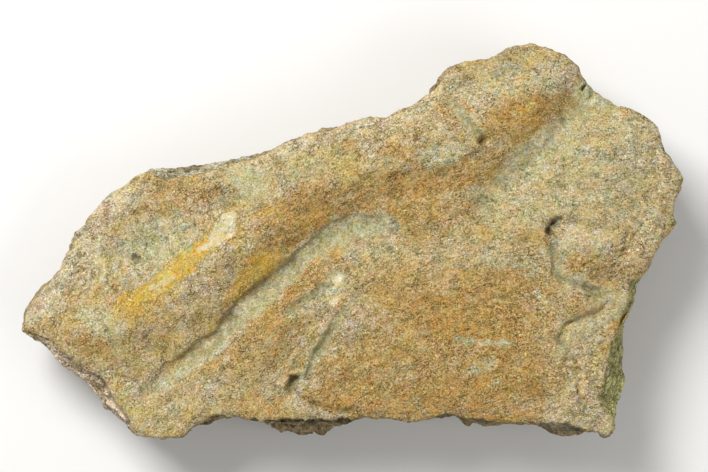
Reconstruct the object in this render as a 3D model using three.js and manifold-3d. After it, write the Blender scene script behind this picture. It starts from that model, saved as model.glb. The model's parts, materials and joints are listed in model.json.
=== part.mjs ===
// Section of Triceratops skull: one slab of mineralised bone, broken off on every side.
// The smooth outer face of the bone looks up, with the channels in which its blood vessels lay.
// The broken inner side rests on the ground. Millimetres, +Z up; the origin is on the ground
// under the middle of the slab, and +X runs along its length towards the thick end.

import * as THREE from 'three';
import { mergeVertices } from 'three/addons/utils/BufferGeometryUtils.js';
import { ImprovedNoise } from 'three/addons/math/ImprovedNoise.js';
import Module from 'manifold-3d';

const wasm = await Module();
wasm.setup();

// ---- driving dimensions ----

const LENGTH = 190;
const WIDTH = 114;
const FACE_HEIGHT = 35;
const THIN_END_DROP = 10;
const THICK_END_DROP = 3.5;
const EDGE_WEAR = 2.2;
const EDGE_WEAR_REACH = 3;
const BONE_COLOUR = 0xb09d70;

const FACE_STEP = 3.1;
const UNDERSIDE_STEP = 6.5;
const CHANNEL_STEP = 5;
const EDGE_STEPS = 150;
const MARGIN = 6;

// Edge of the slab seen from above, clockwise from the tip of the thin end.
const EDGE = [
  [-95, -22], [-94.5, -20], [-90.5, -12.5], [-88.5, -10.5], [-86, -8], [-82.5, -2], [-80, 3],
  [-77, 7.5], [-75, 9], [-73, 11.5], [-70.5, 13.5], [-66, 17], [-63, 18], [-61.5, 20], [-57, 22],
  [-53.5, 22.5], [-50, 22], [-45, 24], [-41.5, 23.5], [-34, 25], [-30, 26], [-24.5, 26.5],
  [-18.5, 29], [-11.5, 32], [-7, 32.5], [-1, 35], [4, 35.5], [13, 38], [21, 42.5], [22.5, 44],
  [24.5, 47.5], [26.5, 49.5], [31.5, 52.5], [36, 53.5], [42, 55], [50.5, 57], [55, 57],
  [58.5, 55], [61.5, 53], [64.5, 50.5], [67, 46.5], [69.5, 44], [72, 41], [74.5, 39],
  [78.5, 39.5], [82, 38], [87.5, 32.5], [89.5, 26.5], [91, 24.5], [93.5, 22.5], [95, 19],
  [95, 16.5], [94, 12.5], [92, 9.5], [93, 7], [91.5, 2], [89, 0], [85, -7.5], [84, -10],
  [82, -12.5], [81, -17.5], [78.5, -26], [78, -30.5], [76.5, -33.5], [77.5, -38.5],
  [77.5, -43], [75.5, -50], [75.5, -54.5], [73, -56.5], [67, -55.5], [60.5, -56], [54, -53.5],
  [47.5, -52.5], [41.5, -53.5], [39, -55], [31, -54], [27, -50], [15.5, -52], [1, -51],
  [-3, -54.5], [-11, -57.5], [-15.5, -58], [-22.5, -56.5], [-26.5, -53], [-33, -50],
  [-38, -51], [-42, -52], [-46, -53.5], [-50, -56.5], [-59, -57], [-65.5, -54], [-69.5, -50],
  [-75.5, -44], [-81.5, -37], [-84.5, -35], [-88.5, -29], [-94, -25.5],
];

// Stretches of the edge where the broken side shows from above: how far the rim of the face stands
// back from the widest part of the side, over what length, and the share of the thickness at
// whose height the side has come out to the edge.
const BARED_SIDES = [
  { at: [-73, -44], reach: 11, setback: 3.2, foot: 0.5 },
  { at: [-46, 23], reach: 11, setback: 3.6, foot: 0.72 },
  { at: [78, -30], reach: 17, setback: 4.8, foot: 0.72 },
  { at: [62, -56], reach: 9, setback: 2.8, foot: 0.6 },
  { at: [35, -54], reach: 7, setback: 3.4, foot: 0.5 },
  { at: [-14, -58], reach: 12, setback: 6.5, foot: 0.42 },
];
const FOOT_BLEND = 0.2;

// Profile of the broken side, from above the face down to the ground: share of the thickness, and
// how far the side has drawn in.
const SIDE_PROFILE = [
  { level: 1.35, inset: 0.1 },
  { level: 0.92, inset: 0 },
  { level: 0.78, inset: 0.5 },
  { level: 0.64, inset: 0 },
  { level: 0.5, inset: 0.2 },
  { level: 0.36, inset: 1.4 },
  { level: 0.22, inset: 2.6 },
  { level: 0.1, inset: 5 },
  { level: -0.25, inset: 12 },
];

// Unevenness of the side. Ledges change fast with height, so they run along the edge; the undercut
// and the height of the ledges change slowly along it.
const LEDGES = { size: 11, rise: 3, heightChange: 3 };
const CHIPS = { size: 4.5, rise: 1.5, heightChange: 1 };
const UNDERCUT = { size: 19, rise: 1.5, layer: 40 };
const LEDGE_DRIFT = { size: 24, rise: 4, layer: 70 };
const GREATEST_BULGE = 0.3;

// Line that the side draws in towards, down the middle of the slab.
const SPINE = [[-62, -22], [-20, -10], [40, 2], [62, 8]];

// Long folds of the face: a route, the half-width to either side, and the rise.
const FOLDS = [
  {
    route: [[-80, -29], [-59, -19], [-37, -3], [-15, 14], [-1, 21], [16, 26], [34, 30]],
    reach: 9, rise: 3.6,
  },
  {
    route: [[-55, -40], [-40, -32], [-30, -19], [-17, -6], [-2, 4], [12, 3]],
    reach: 7, rise: -2,
  },
  { route: [[-42, -40], [-28, -27], [-16, -14], [-2, -6]], reach: 5, rise: 1.6 },
  { route: [[-11, -22], [-17, -33], [-22, -42]], reach: 5, rise: -1.3 },
  { route: [[70, 46], [57, 32], [46, 20], [38, 12]], reach: 5.5, rise: -2.6 },
  { route: [[-37, 27], [-36, 16], [-33, 9]], reach: 6, rise: -2.2 },
  { route: [[84, 4], [72, -12], [70, -24], [66, -46]], reach: 6, rise: -1.1 },
];

// Broad swells and hollows of the face: middle, half-sizes, turn in degrees and rise.
const SWELLS = [
  { at: [48, 42], size: [14, 10], turn: 25, rise: 3 },
  { at: [78, 24], size: [12, 11], turn: 0, rise: 1.6 },
  { at: [24, -30], size: [34, 15], turn: -4, rise: 2.6 },
  { at: [42, -2], size: [22, 9], turn: 12, rise: 1.4 },
  { at: [-60, -4], size: [12, 9], turn: 30, rise: -1.7 },
  { at: [-72, 4], size: [7, 10], turn: -30, rise: 0.9 },
  { at: [-66, -36], size: [12, 8], turn: -30, rise: -1.2 },
  { at: [-46, 15], size: [7, 6], turn: 0, rise: 1.2 },
  { at: [-20, 22], size: [10, 5], turn: 20, rise: 0.9 },
  { at: [69, -3], size: [9, 6], turn: 0, rise: 1.6 },
  { at: [6, 12], size: [16, 6], turn: 15, rise: -0.9 },
  { at: [28, 12], size: [9, 4], turn: 20, rise: 1 },
  { at: [87, 30], size: [4, 4], turn: 0, rise: 1.2 },
  { at: [91, 17], size: [5, 5], turn: 0, rise: 1.5 },
  { at: [88, 5], size: [4, 4], turn: 0, rise: 1.3 },
  { at: [80, -9], size: [4, 3], turn: 45, rise: 1 },
  { at: [72, -29], size: [3, 8], turn: 15, rise: 1 },
];

// Channels and ledges cut in the face. The steep wall follows the route and the floor lies on its
// right, climbing back to the face over the width; at each stop: x, y, width, depth.
const CHANNELS = [
  [
    [-67, -48, 3, 0.3], [-59, -39.5, 4, 0.8], [-56, -35.5, 5, 1.4], [-48.5, -32, 5.5, 1.9],
    [-40, -26, 6, 2.2], [-37, -22, 6, 2.3], [-29.5, -13, 6, 2.3], [-20, -5.5, 6.5, 2.2],
    [-11.5, 3, 7.5, 1.9], [-4, 8.5, 8.5, 1.6], [6, 8, 8, 1.2], [13, 5.5, 5, 0.4],
  ],
  [
    [-18.5, -43, 3, 1], [-14.5, -38, 4, 1.6], [-11.5, -31, 4, 1.8], [-9, -26, 3.6, 1.7],
    [-6.5, -21.5, 3.2, 1.3], [-2, -17, 3, 0.3],
  ],
  [
    [4, -50, 3.5, 0.5], [-4, -49, 4, 1.2], [-11, -46.5, 4.5, 1.5], [-15, -43, 4.5, 1.4],
    [-16, -39, 3, 0.5],
  ],
  [
    [77, -15, 3, 0.4], [70, -15.5, 3.5, 1.3], [63, -12, 3.5, 1.5], [58.5, -10, 3.5, 1.4],
    [58.5, -5, 3.5, 1.4], [58, 1, 3.5, 1.8], [59, 5.5, 3, 1.5], [67, 6, 2.5, 0.9],
    [76, 4.5, 2.5, 0.3],
  ],
  [
    [79, -20, 3, 0.4], [70.5, -21.5, 4.5, 1.3], [64, -24, 5, 1.6], [60, -27.5, 4, 1.4],
    [61, -34, 3, 1], [65, -43, 3, 0.9], [68, -52, 3, 0.4],
  ],
  [[29.5, 42, 2, 0.4], [32.5, 37, 2.6, 1], [35, 32, 3, 1.3], [37.5, 28, 3, 0.5]],
  [
    [-74, 3, 2, 0.3], [-73, -5, 2.4, 0.9], [-73, -11, 2.4, 0.9], [-68, -15, 2.2, 0.7],
    [-61, -15, 2, 0.3],
  ],
];
const CHANNEL_LIFT = 5;

// Holes where a vessel dived into the bone, and bites out of the broken edge: middle, half-sizes.
const PITS = [
  { at: [57, 4.5], size: [2.8, 2.2, 4] },
  { at: [-18.5, -40.5], size: [2, 3, 4] },
  { at: [37, 29.3], size: [1.8, 1.5, 3] },
  { at: [-39, -52], size: [4, 2.6, 3.6] },
  { at: [67, 42.5], size: [1.8, 3, 3] },
];

// Level spots that the underside rests on: middle and radius.
const RESTING_SPOTS = [
  { at: [-58, -20], radius: 13 },
  { at: [3, -6], radius: 12 },
  { at: [40, 27], radius: 12 },
  { at: [48, -32], radius: 14 },
];
const RESTING_SPOT_SLOPE = 0.35;
const UNDERSIDE_HOLLOW = 2.7;

// Unevenness: size across of the lumps, how high they rise, and a layer of the noise for each.
const FACE_LUMPS = [{ size: 17, rise: 1.1, layer: 0 }, { size: 7, rise: 0.7, layer: 30 }];
const UNDERSIDE_LUMPS = [{ size: 26, rise: 5.1, layer: 60 }, { size: 9, rise: 1.6, layer: 90 }];

// ---- small tools ----

const { smoothstep, degToRad, lerp } = THREE.MathUtils;
const grain = new ImprovedNoise();

function bell(distanceInReaches) {
  return Math.exp(-distanceInReaches * distanceInReaches);
}

// Noise from about -0.7 to 0.7, moved off the whole numbers, where it is always zero.
function lumps({ size, rise }, x, y, layer) {
  return rise * grain.noise(x / size + 11.3, y / size + 4.7, layer / size + 2.1);
}

function nearestOnSegment(x, y, [ax, ay], [bx, by]) {
  const dx = bx - ax;
  const dy = by - ay;
  const share = THREE.MathUtils.clamp(((x - ax) * dx + (y - ay) * dy) / (dx * dx + dy * dy), 0, 1);
  return [ax + share * dx, ay + share * dy];
}

function nearestOnRoute(x, y, route) {
  let nearest = route[0];
  let least = Infinity;
  for (let i = 1; i < route.length; i++) {
    const point = nearestOnSegment(x, y, route[i - 1], route[i]);
    const distance = Math.hypot(x - point[0], y - point[1]);
    if (distance < least) {
      least = distance;
      nearest = point;
    }
  }
  return { nearest, distance: least };
}

function toSolid(geometry) {
  geometry.deleteAttribute('normal');
  geometry.deleteAttribute('uv');
  const merged = mergeVertices(geometry);
  return new wasm.Manifold(new wasm.Mesh({
    numProp: 3,
    vertProperties: new Float32Array(merged.attributes.position.array),
    triVerts: new Uint32Array(merged.index.array),
  }));
}

function moveVertices(geometry, move) {
  const positions = geometry.attributes.position;
  const point = new THREE.Vector3();
  for (let i = 0; i < positions.count; i++) {
    point.fromBufferAttribute(positions, i);
    positions.setXYZ(i, ...move(point));
  }
  return geometry;
}

// ---- the face and the underside, as heights over the ground ----

const closedEdge = [...EDGE, EDGE[0]];

function faceHeight(x, y) {
  let z = FACE_HEIGHT;
  z -= THIN_END_DROP * smoothstep(-x, 30, 95);
  z -= THICK_END_DROP * smoothstep(x, 60, 98);
  for (const { route, reach, rise } of FOLDS) {
    z += rise * bell(nearestOnRoute(x, y, route).distance / reach);
  }
  for (const { at, size, turn, rise } of SWELLS) {
    const angle = degToRad(turn);
    const along = (x - at[0]) * Math.cos(angle) + (y - at[1]) * Math.sin(angle);
    const across = (y - at[1]) * Math.cos(angle) - (x - at[0]) * Math.sin(angle);
    z += rise * bell(Math.hypot(along / size[0], across / size[1]));
  }
  for (const unevenness of FACE_LUMPS) {
    z += lumps(unevenness, x, y, unevenness.layer);
  }
  z -= EDGE_WEAR * Math.exp(-nearestOnRoute(x, y, closedEdge).distance / EDGE_WEAR_REACH);
  return z;
}

function undersideHeight(x, y) {
  let height = UNDERSIDE_HOLLOW;
  for (const unevenness of UNDERSIDE_LUMPS) {
    height += lumps(unevenness, x, y, unevenness.layer);
  }
  for (const { at, radius } of RESTING_SPOTS) {
    const distance = Math.hypot(x - at[0], y - at[1]);
    height = Math.min(height, RESTING_SPOT_SLOPE * (distance - radius));
  }
  return Math.max(0, height);
}

// ---- blocks whose overlap is the slab ----

function gridBlock(step, heightAt, topIsGrid, farHeight) {
  const width = LENGTH + 2 * MARGIN;
  const depth = WIDTH + 2 * MARGIN;
  const block = new THREE.BoxGeometry(
    width, depth, 2, Math.round(width / step), Math.round(depth / step), 1);
  moveVertices(block, ({ x, y, z }) => {
    const onGrid = topIsGrid === z > 0;
    return [x, y, onGrid ? heightAt(x, y) : farHeight];
  });
  return toSolid(block);
}

function setbackAt(x, y, level) {
  let setback = 0;
  for (const side of BARED_SIDES) {
    const distance = Math.hypot(x - side.at[0], y - side.at[1]);
    const left = smoothstep(level, side.foot, side.foot + FOOT_BLEND);
    setback = Math.max(setback, side.setback * left * bell((distance / side.reach) ** 2));
  }
  return setback;
}

// The broken side, as a drum whose rows of vertices are moved on to the edge and then drawn in.
function sideBlock() {
  const curve = new THREE.CatmullRomCurve3(
    EDGE.map(([x, y]) => new THREE.Vector3(x, y, 0)), true, 'centripetal');
  const edge = curve.getSpacedPoints(EDGE_STEPS);
  const rows = SIDE_PROFILE.length - 1;
  const drum = new THREE.CylinderGeometry(1, 1, rows, EDGE_STEPS, rows);
  moveVertices(drum, ({ x, y, z }) => {
    const row = SIDE_PROFILE[Math.round(rows / 2 - y)];
    const onAxis = Math.hypot(x, z) < 0.5;
    const turn = (Math.atan2(z, x) / (2 * Math.PI) + 1) % 1;
    const point = edge[Math.round(turn * EDGE_STEPS) % EDGE_STEPS];
    if (onAxis) {
      return [0, 0, FACE_HEIGHT * row.level];
    }
    const drift = lumps(LEDGE_DRIFT, point.x, point.y, LEDGE_DRIFT.layer);
    const height = FACE_HEIGHT * row.level + drift;
    const ledges = lumps(LEDGES, point.x, point.y, LEDGES.heightChange * height);
    const chips = lumps(CHIPS, point.x, point.y, CHIPS.heightChange * height);
    const drawnIn = row.inset * (1 + lumps(UNDERCUT, point.x, point.y, UNDERCUT.layer));
    const setback = setbackAt(point.x, point.y, row.level);
    const inset = drawnIn + setback + Math.max(ledges + chips, -GREATEST_BULGE);
    const { nearest, distance } = nearestOnRoute(point.x, point.y, SPINE);
    const share = inset / distance;
    return [
      lerp(point.x, nearest[0], share),
      lerp(point.y, nearest[1], share),
      height,
    ];
  });
  return toSolid(drum);
}

// ---- what is cut in the face ----

// A strip that is laid along a channel: its lower side is the channel's floor, and its upper side
// stands clear of the face.
const CHANNEL_SECTION = [
  { across: 0, depth: 0 },
  { across: 0.16, depth: 0.85 },
  { across: 0.38, depth: 1 },
  { across: 0.68, depth: 0.62 },
  { across: 1, depth: 0 },
];

function channelSolid(stops) {
  const route = new THREE.CatmullRomCurve3(
    stops.map(([x, y]) => new THREE.Vector3(x, y, 0)), false, 'centripetal');
  const steps = Math.round(route.getLength() / CHANNEL_STEP);
  const bands = CHANNEL_SECTION.length - 1;
  const strip = new THREE.BoxGeometry(bands, steps, 1, bands, steps, 1);
  moveVertices(strip, ({ x, y, z }) => {
    const along = THREE.MathUtils.clamp((y + steps / 2) / steps, 0, 1);
    const section = CHANNEL_SECTION[Math.round(x + bands / 2)];
    const point = route.getPoint(along);
    const tangent = route.getTangent(along);
    const stop = Math.min(along * (stops.length - 1), stops.length - 1.001);
    const before = stops[Math.floor(stop)];
    const after = stops[Math.floor(stop) + 1];
    const width = lerp(before[2], after[2], stop % 1);
    const depth = lerp(before[3], after[3], stop % 1);
    const px = point.x + tangent.y * width * section.across;
    const py = point.y - tangent.x * width * section.across;
    const floor = faceHeight(px, py) - depth * section.depth;
    return [px, py, z < 0 ? floor + 0.05 : floor + CHANNEL_LIFT];
  });
  return toSolid(strip);
}

function pitSolid({ at, size }) {
  const pit = new THREE.IcosahedronGeometry(1, 1);
  pit.scale(...size);
  pit.translate(at[0], at[1], faceHeight(...at));
  return toSolid(pit);
}

// ---- the slab ----

function skullSection() {
  const face = gridBlock(FACE_STEP, faceHeight, true, -MARGIN);
  const underside = gridBlock(UNDERSIDE_STEP, undersideHeight, false, 2 * FACE_HEIGHT);
  let slab = sideBlock().intersect(face).intersect(underside);
  for (const stops of CHANNELS) {
    slab = slab.subtract(channelSolid(stops));
  }
  for (const pit of PITS) {
    slab = slab.subtract(pitSolid(pit));
  }
  const { vertProperties, triVerts } = slab.getMesh();
  const geometry = new THREE.BufferGeometry();
  geometry.setAttribute('position', new THREE.BufferAttribute(vertProperties, 3));
  geometry.setIndex(new THREE.BufferAttribute(triVerts, 1));
  geometry.computeBoundingBox();
  const { min, max } = geometry.boundingBox;
  geometry.translate(-(min.x + max.x) / 2, -(min.y + max.y) / 2, -min.z);
  return geometry;
}

const bone = new THREE.MeshStandardMaterial({ color: BONE_COLOUR, roughness: 0.85, metalness: 0 });
const section = new THREE.Mesh(skullSection(), bone);
section.name = 'skull_section';

const model = new THREE.Group();
model.add(section);

export default model;
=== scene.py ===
import itertools
import json
import math

import bpy
import numpy as np
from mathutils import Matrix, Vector, kdtree

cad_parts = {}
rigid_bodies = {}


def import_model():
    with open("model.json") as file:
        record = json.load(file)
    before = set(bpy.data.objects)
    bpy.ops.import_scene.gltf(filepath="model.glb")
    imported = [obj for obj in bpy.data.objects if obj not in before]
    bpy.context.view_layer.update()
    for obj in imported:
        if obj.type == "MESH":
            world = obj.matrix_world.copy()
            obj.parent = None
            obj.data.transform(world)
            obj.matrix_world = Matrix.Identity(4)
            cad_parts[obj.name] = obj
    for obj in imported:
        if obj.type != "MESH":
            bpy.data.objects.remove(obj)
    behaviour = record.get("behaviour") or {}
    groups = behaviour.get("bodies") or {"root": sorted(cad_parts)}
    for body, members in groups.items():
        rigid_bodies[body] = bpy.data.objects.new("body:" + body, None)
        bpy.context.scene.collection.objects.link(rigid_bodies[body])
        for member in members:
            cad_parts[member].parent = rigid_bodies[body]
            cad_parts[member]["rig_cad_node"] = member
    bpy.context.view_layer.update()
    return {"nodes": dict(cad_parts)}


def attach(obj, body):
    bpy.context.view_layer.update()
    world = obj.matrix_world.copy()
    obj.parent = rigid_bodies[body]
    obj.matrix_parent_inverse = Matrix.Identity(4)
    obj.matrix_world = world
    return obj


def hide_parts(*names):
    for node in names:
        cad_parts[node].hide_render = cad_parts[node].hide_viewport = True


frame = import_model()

# ---- The bone slab: rough shape ----
# One piece of mineralised skull bone, broken off on every side. It is the CAD slab, cut fine
# enough to carve, and its facets are rubbed away before the carving starts.

MM = 0.001
MERGE_GAP = 0.002 * MM
ROUGH_VOXEL = 0.6 * MM
RUBBING = 0.5
RUBBING_PASSES = 6

cad_slab = frame["nodes"]["skull_section"]
bpy.ops.object.select_all(action="DESELECT")
cad_slab.select_set(True)
bpy.context.view_layer.objects.active = cad_slab
bpy.ops.object.duplicate()
slab = bpy.context.active_object
slab.name = "bone_slab"
slab.data.name = "bone_slab"
del slab["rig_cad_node"]


def apply_modifier(piece, kind, **settings):
    modifier = piece.modifiers.new(kind.lower(), kind)
    for name, value in settings.items():
        setattr(modifier, name, value)
    bpy.ops.object.modifier_apply(modifier=modifier.name)


bpy.ops.object.mode_set(mode="EDIT")
bpy.ops.mesh.select_all(action="SELECT")
bpy.ops.mesh.remove_doubles(threshold=MERGE_GAP)
bpy.ops.object.mode_set(mode="OBJECT")
apply_modifier(slab, "REMESH", mode="VOXEL", voxel_size=ROUGH_VOXEL)
apply_modifier(slab, "SMOOTH", factor=RUBBING, iterations=RUBBING_PASSES)

# ---- The bone slab: carving of the outer face ----
# The outer face is dense bone with long folds, and open channels in which the blood vessels of
# the horn sheath lay. Each channel has a steep wall on one side and a soft slope on the other.

# The face comes down towards both ends: how far, and from where to where.
FACE_HEIGHT = 35
THIN_END_DROP = 10
THIN_END = (-30, -95)
THICK_END_DROP = 3.5
THICK_END = (60, 98)
EDGE_WEAR = 0.9
EDGE_WEAR_REACH = 0.9
# Where the broken outline stands further out than the rough solid: x, y, reach, shift in x and y.
OUTLINE_SHIFTS = [
    (-94, -19, 7, -1.9, 0.4), (-94, -27, 6, -1.6, -0.3), (-80, 0, 16, -0.8, 0.4), (-80, -39, 12, -0.8, -1),
    (-55, -56, 12, 0, -1.1), (-16, -56, 8, 0, -0.8), (2, -53, 5, 0, 0.8), (30, -52, 7, 0, 1.3),
    (48, -55, 8, 0, 0.7), (63, -56, 7, 0, -0.6), (24, 46, 6, 0.5, -0.8), (45, 56, 14, 0, 0.5),
    (68, 44, 10, 0.5, 0.5), (84, 34, 10, 0.5, 0.6), (94, 18, 12, 0.8, 0.1), (88, -1, 10, 0.8, -0.4),
    (82, -14, 8, 0.6, -0.3), (77, -40, 10, 1.5, 0), (-66, 20, 12, -0.4, 0.4), (-32, 26, 6, 0.2, -0.8),
    (2, 37, 14, 0, 0.4),
]
# Long folds: half-width, rise, route.
FOLDS = [
    (9, 3.6, [(-80, -29), (-59, -19), (-37, -3), (-15, 14), (-1, 21), (16, 26), (34, 30)]),
    (7, -2.0, [(-55, -40), (-40, -32), (-30, -19), (-17, -6), (-2, 4), (12, 3)]),
    (5, 1.6, [(-42, -40), (-28, -27), (-16, -14), (-2, -6)]),
    (5, -1.3, [(-11, -22), (-17, -33), (-22, -42)]),
    (5.5, -2.6, [(70, 46), (57, 32), (46, 20), (38, 12)]),
    (6, -2.2, [(-37, 27), (-36, 16), (-33, 9)]),
    (6, -1.1, [(84, 4), (72, -12), (70, -24), (66, -46)]),
    (2.2, 0.8, [(-68, -18), (-60, -13), (-50, -7), (-43, -1), (-36, 7)]),
]
# Swells and dips: x, y, half-length, half-width, turn in degrees, rise.
SWELLS = [
    (48, 42, 14, 10, 25, 3), (78, 24, 12, 11, 0, 1.6), (24, -30, 34, 15, -4, 2.6), (42, -2, 22, 9, 12, 1.4),
    (-60, -4, 12, 9, 30, -1.7), (-72, 4, 7, 10, -30, 0.9), (-66, -36, 12, 8, -30, -1.2),
    (-46, 15, 7, 6, 0, 1.2), (-20, 22, 10, 5, 20, 0.9), (69, -3, 9, 6, 0, 1.6), (6, 12, 16, 6, 15, -0.9),
    (28, 12, 9, 4, 20, 1), (87, 30, 4, 4, 0, 1.2), (91, 17, 5, 5, 0, 1.5), (88, 5, 4, 4, 0, 1.3),
    (80, -9, 4, 3, 45, 1), (72, -29, 3, 8, 15, 1), (79, -5, 3, 2.2, 50, 0.9), (74, -7, 2.5, 2, 0, 0.8),
    (84, -1, 2.5, 2, 0, 0.9), (-36.6, 4.6, 3.4, 2, 50, 0.8), (76, -26, 2.4, 1.8, 20, 0.8),
    (66, -17, 4, 2.2, -15, 0.8), (78, 30, 3.5, 3, 0, 0.8), (-55.5, 20.8, 2.2, 1.6, 10, 1.6),
    (-50.5, 21.8, 2.2, 1.6, 10, 1.7), (-46, 23.2, 1.8, 1.4, 0, 1.5), (-41, 24.3, 2.2, 1.4, 20, 1.3),
    (-36.2, 26, 2, 1.3, 20, 1.1), (67, -1, 7, 4, -5, 0.7), (66, -40, 3, 8, 10, 0.7), (90, 24, 3, 3, 0, 1),
    (86, -3, 3, 3, 0, 1), (83, 12, 5, 4, 30, -0.8),
]
CREASE_DEPTH = 0.6
# Cracks and wrinkles: half-width, rise, route.
CREASES = [
    (0.5, -0.9, [(58.8, 5.8), (66.7, 5.4), (72.7, 4), (77.2, 4)]),
    (0.6, -1, [(57.7, 1.7), (58, -3.5), (57.7, -9.6), (60, -11.5), (64.4, -12.1), (69, -13.7),
               (71.3, -15.6), (73.5, -15)]),
    (0.5, -0.9, [(73.5, -17.5), (66.7, -20.8), (60, -23.9), (58.8, -26.8), (60.3, -29.9), (62.9, -32.9),
                 (65.2, -37.4), (64.4, -41), (64.4, -45), (67.5, -49.4)]),
    (0.9, 0.6, [(73, -20.5), (67, -23), (62.5, -25.5), (61.5, -28), (63.5, -31)]),
    (0.9, 0.6, [(60.5, -38), (63, -43), (65, -49), (68, -53)]),
    (0.5, -0.7, [(66, -27), (68.5, -31.5), (68, -36)]), (0.5, -0.6, [(70, -38), (68.5, -42), (70.5, -46)]),
    (0.6, -0.7, [(80.2, 33.6), (82.8, 29), (86.8, 26.1)]),
    (0.7, -0.8, [(87.7, 23.8), (86.8, 19.8), (88, 14), (92, 11.2)]),
    (0.6, -0.7, [(89.4, 9.4), (89.7, 4.8), (89.1, 0.8)]), (0.7, -0.5, [(73, 16), (78, 18), (84, 18.5)]),
    (0.5, -0.5, [(-66, 7.5), (-60, 9), (-53, 7.5)]),
    (0.5, -0.6, [(-73, 1), (-72.4, -7), (-71.4, -12), (-68.5, -15)]),
    (0.5, -0.7, [(-37, 8.5), (-33.5, 7.5), (-33, 4.5)]),
    (0.7, -0.5, [(-60, 17.8), (-55, 15.5), (-50, 16), (-45, 15)]),
    (0.6, -0.6, [(-12, -46.5), (-5, -47.5), (3, -48.3), (10, -49)]),
    (0.6, 0.4, [(-8, -45.5), (-2, -46.5), (6, -47)]),
    (1, 1.1, [(-15, -39.5), (-15.5, -43.5), (-13, -47), (-8, -49), (0, -50)]),
]
CHANNEL_DEPTH = 0.6
CHANNEL_FLOOR = (0.2, 1)
# Each stop: x, y, width, depth. The steep wall is on the route, and the floor on its right.
CHANNELS = [
    [(-65.5, -46.5, 3, 0.3), (-63.5, -44.5, 3, 0.5), (-58.5, -40, 4, 1), (-55.5, -35.5, 5, 1.4),
     (-52.5, -34.5, 5.5, 1.5), (-46, -30, 6, 1.9), (-40, -25.5, 6, 2.1), (-38.5, -23.5, 6, 2.2),
     (-33, -16.5, 6, 2.2), (-29, -13, 6, 2.2), (-26, -11.5, 6, 2), (-19, -5.5, 6.5, 1.9),
     (-15.5, -2, 7, 1.9), (-11, 1.5, 7.5, 1.8), (-7, 5.5, 8.5, 1.7), (-2.5, 7.5, 9, 1.4),
     (4.5, 7.5, 9, 1.2), (9.5, 7.5, 8, 0.8), (12.5, 5.5, 6, 0.4)],
    [(-17, -38.5, 3, 1.5), (-15, -39.5, 3.5, 2), (-13.5, -37.5, 4, 2.4), (-11, -31, 4, 2.5),
     (-9, -28, 4, 2.4), (-6, -23, 4, 2), (-3.5, -19.5, 3, 1.2), (-1, -17.5, 3, 0.4)],
    [(-15.5, -43, 2.5, 0.8), (-14, -44.5, 3, 1.5), (-11.5, -46, 3, 1.7), (-7.5, -47.5, 3, 1.5),
     (-3.5, -48.5, 3, 1.2), (1.5, -49, 3, 0.9), (7.5, -49.5, 3, 0.6)],
    [(-18.5, -38.5, 2, 0.3), (-17.5, -36, 2, 0.8), (-16, -33, 2, 0.9), (-14.5, -30.5, 2, 0.4)],
    [(-24.5, -23, 3, 0.3), (-20, -20, 3, 0.9), (-15.5, -16.5, 4, 1.4), (-12, -14.5, 4, 1.5),
     (-8.5, -12, 4, 1.5), (-5.5, -9.5, 3.5, 1.2), (-1.5, -7.5, 3, 0.9), (4, -5, 3, 0.3)],
    [(77, -14.5, 2.5, 0.4), (74, -15.5, 2.5, 1), (71.5, -15.5, 2.5, 1.5), (69, -14.3, 2.5, 1.5),
     (66, -13, 2.5, 1.4), (62, -11.5, 2.5, 1.5), (59, -10.4, 2.5, 1.8), (57.3, -8.5, 2.5, 1.9),
     (57.2, -5, 2.5, 1.8), (57.2, -2.5, 2.5, 1.9), (57, 0, 2.5, 2.2), (56.5, 2.5, 2.5, 2.6),
     (56.4, 5, 2.5, 2.8), (57.3, 6.7, 2.5, 2.4), (60, 6.4, 2.2, 1), (63.5, 6.5, 2, 0.6), (67.5, 6, 2, 0.6),
     (71, 5, 2, 0.6), (74.5, 4.5, 2, 0.5), (78, 4.5, 2, 0.2)],
    [(61, -33.5, 2.5, 0.4), (59.6, -30, 3, 1.2), (59.2, -26.5, 3.5, 1.7), (61.5, -23.5, 4, 1.8),
     (66, -21.3, 4, 1.7), (71.5, -19, 3.5, 1.5), (77, -15.8, 3, 0.7)],
    [(68.5, -52, 2, 0.3), (67, -50, 2.5, 0.8), (65.2, -46, 2.5, 1), (64.5, -42, 2.5, 1.1),
     (63, -36, 2.5, 1), (61, -32.5, 2.5, 0.5)],
    [(29, 41, 1.6, 0.4), (30, 39.5, 2.2, 1.2), (32, 36, 2.4, 1.5), (34.5, 32.5, 2.4, 1.7),
     (37, 29.5, 2, 1.8)],
    [(-72.5, 2, 1.5, 0.3), (-73, -2, 1.6, 0.9), (-73.5, -6.5, 1.6, 1), (-73, -9.5, 1.6, 1.2),
     (-72, -12, 1.6, 1), (-69.5, -14, 1.6, 0.8), (-66.5, -16, 1.6, 0.3)],
    [(49.5, 23, 2.5, 0.3), (53.5, 26.5, 2.5, 0.4), (57, 30.5, 2.5, 0.5), (60, 34.5, 2.5, 0.8),
     (63, 37.5, 2.5, 0.5)],
    [(26.5, -26, 2, 0.4), (25, -23, 2.2, 1), (23, -19, 2.2, 1), (22, -16.5, 2, 0.3)],
]
# How far each channel's steep wall runs.
WALL_RUNS = [0.45, 0.5, 0.4, 0.7, 0.7, 0.8, 1, 0.9, 0.6, 0.5, 0.6, 0.5]
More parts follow.
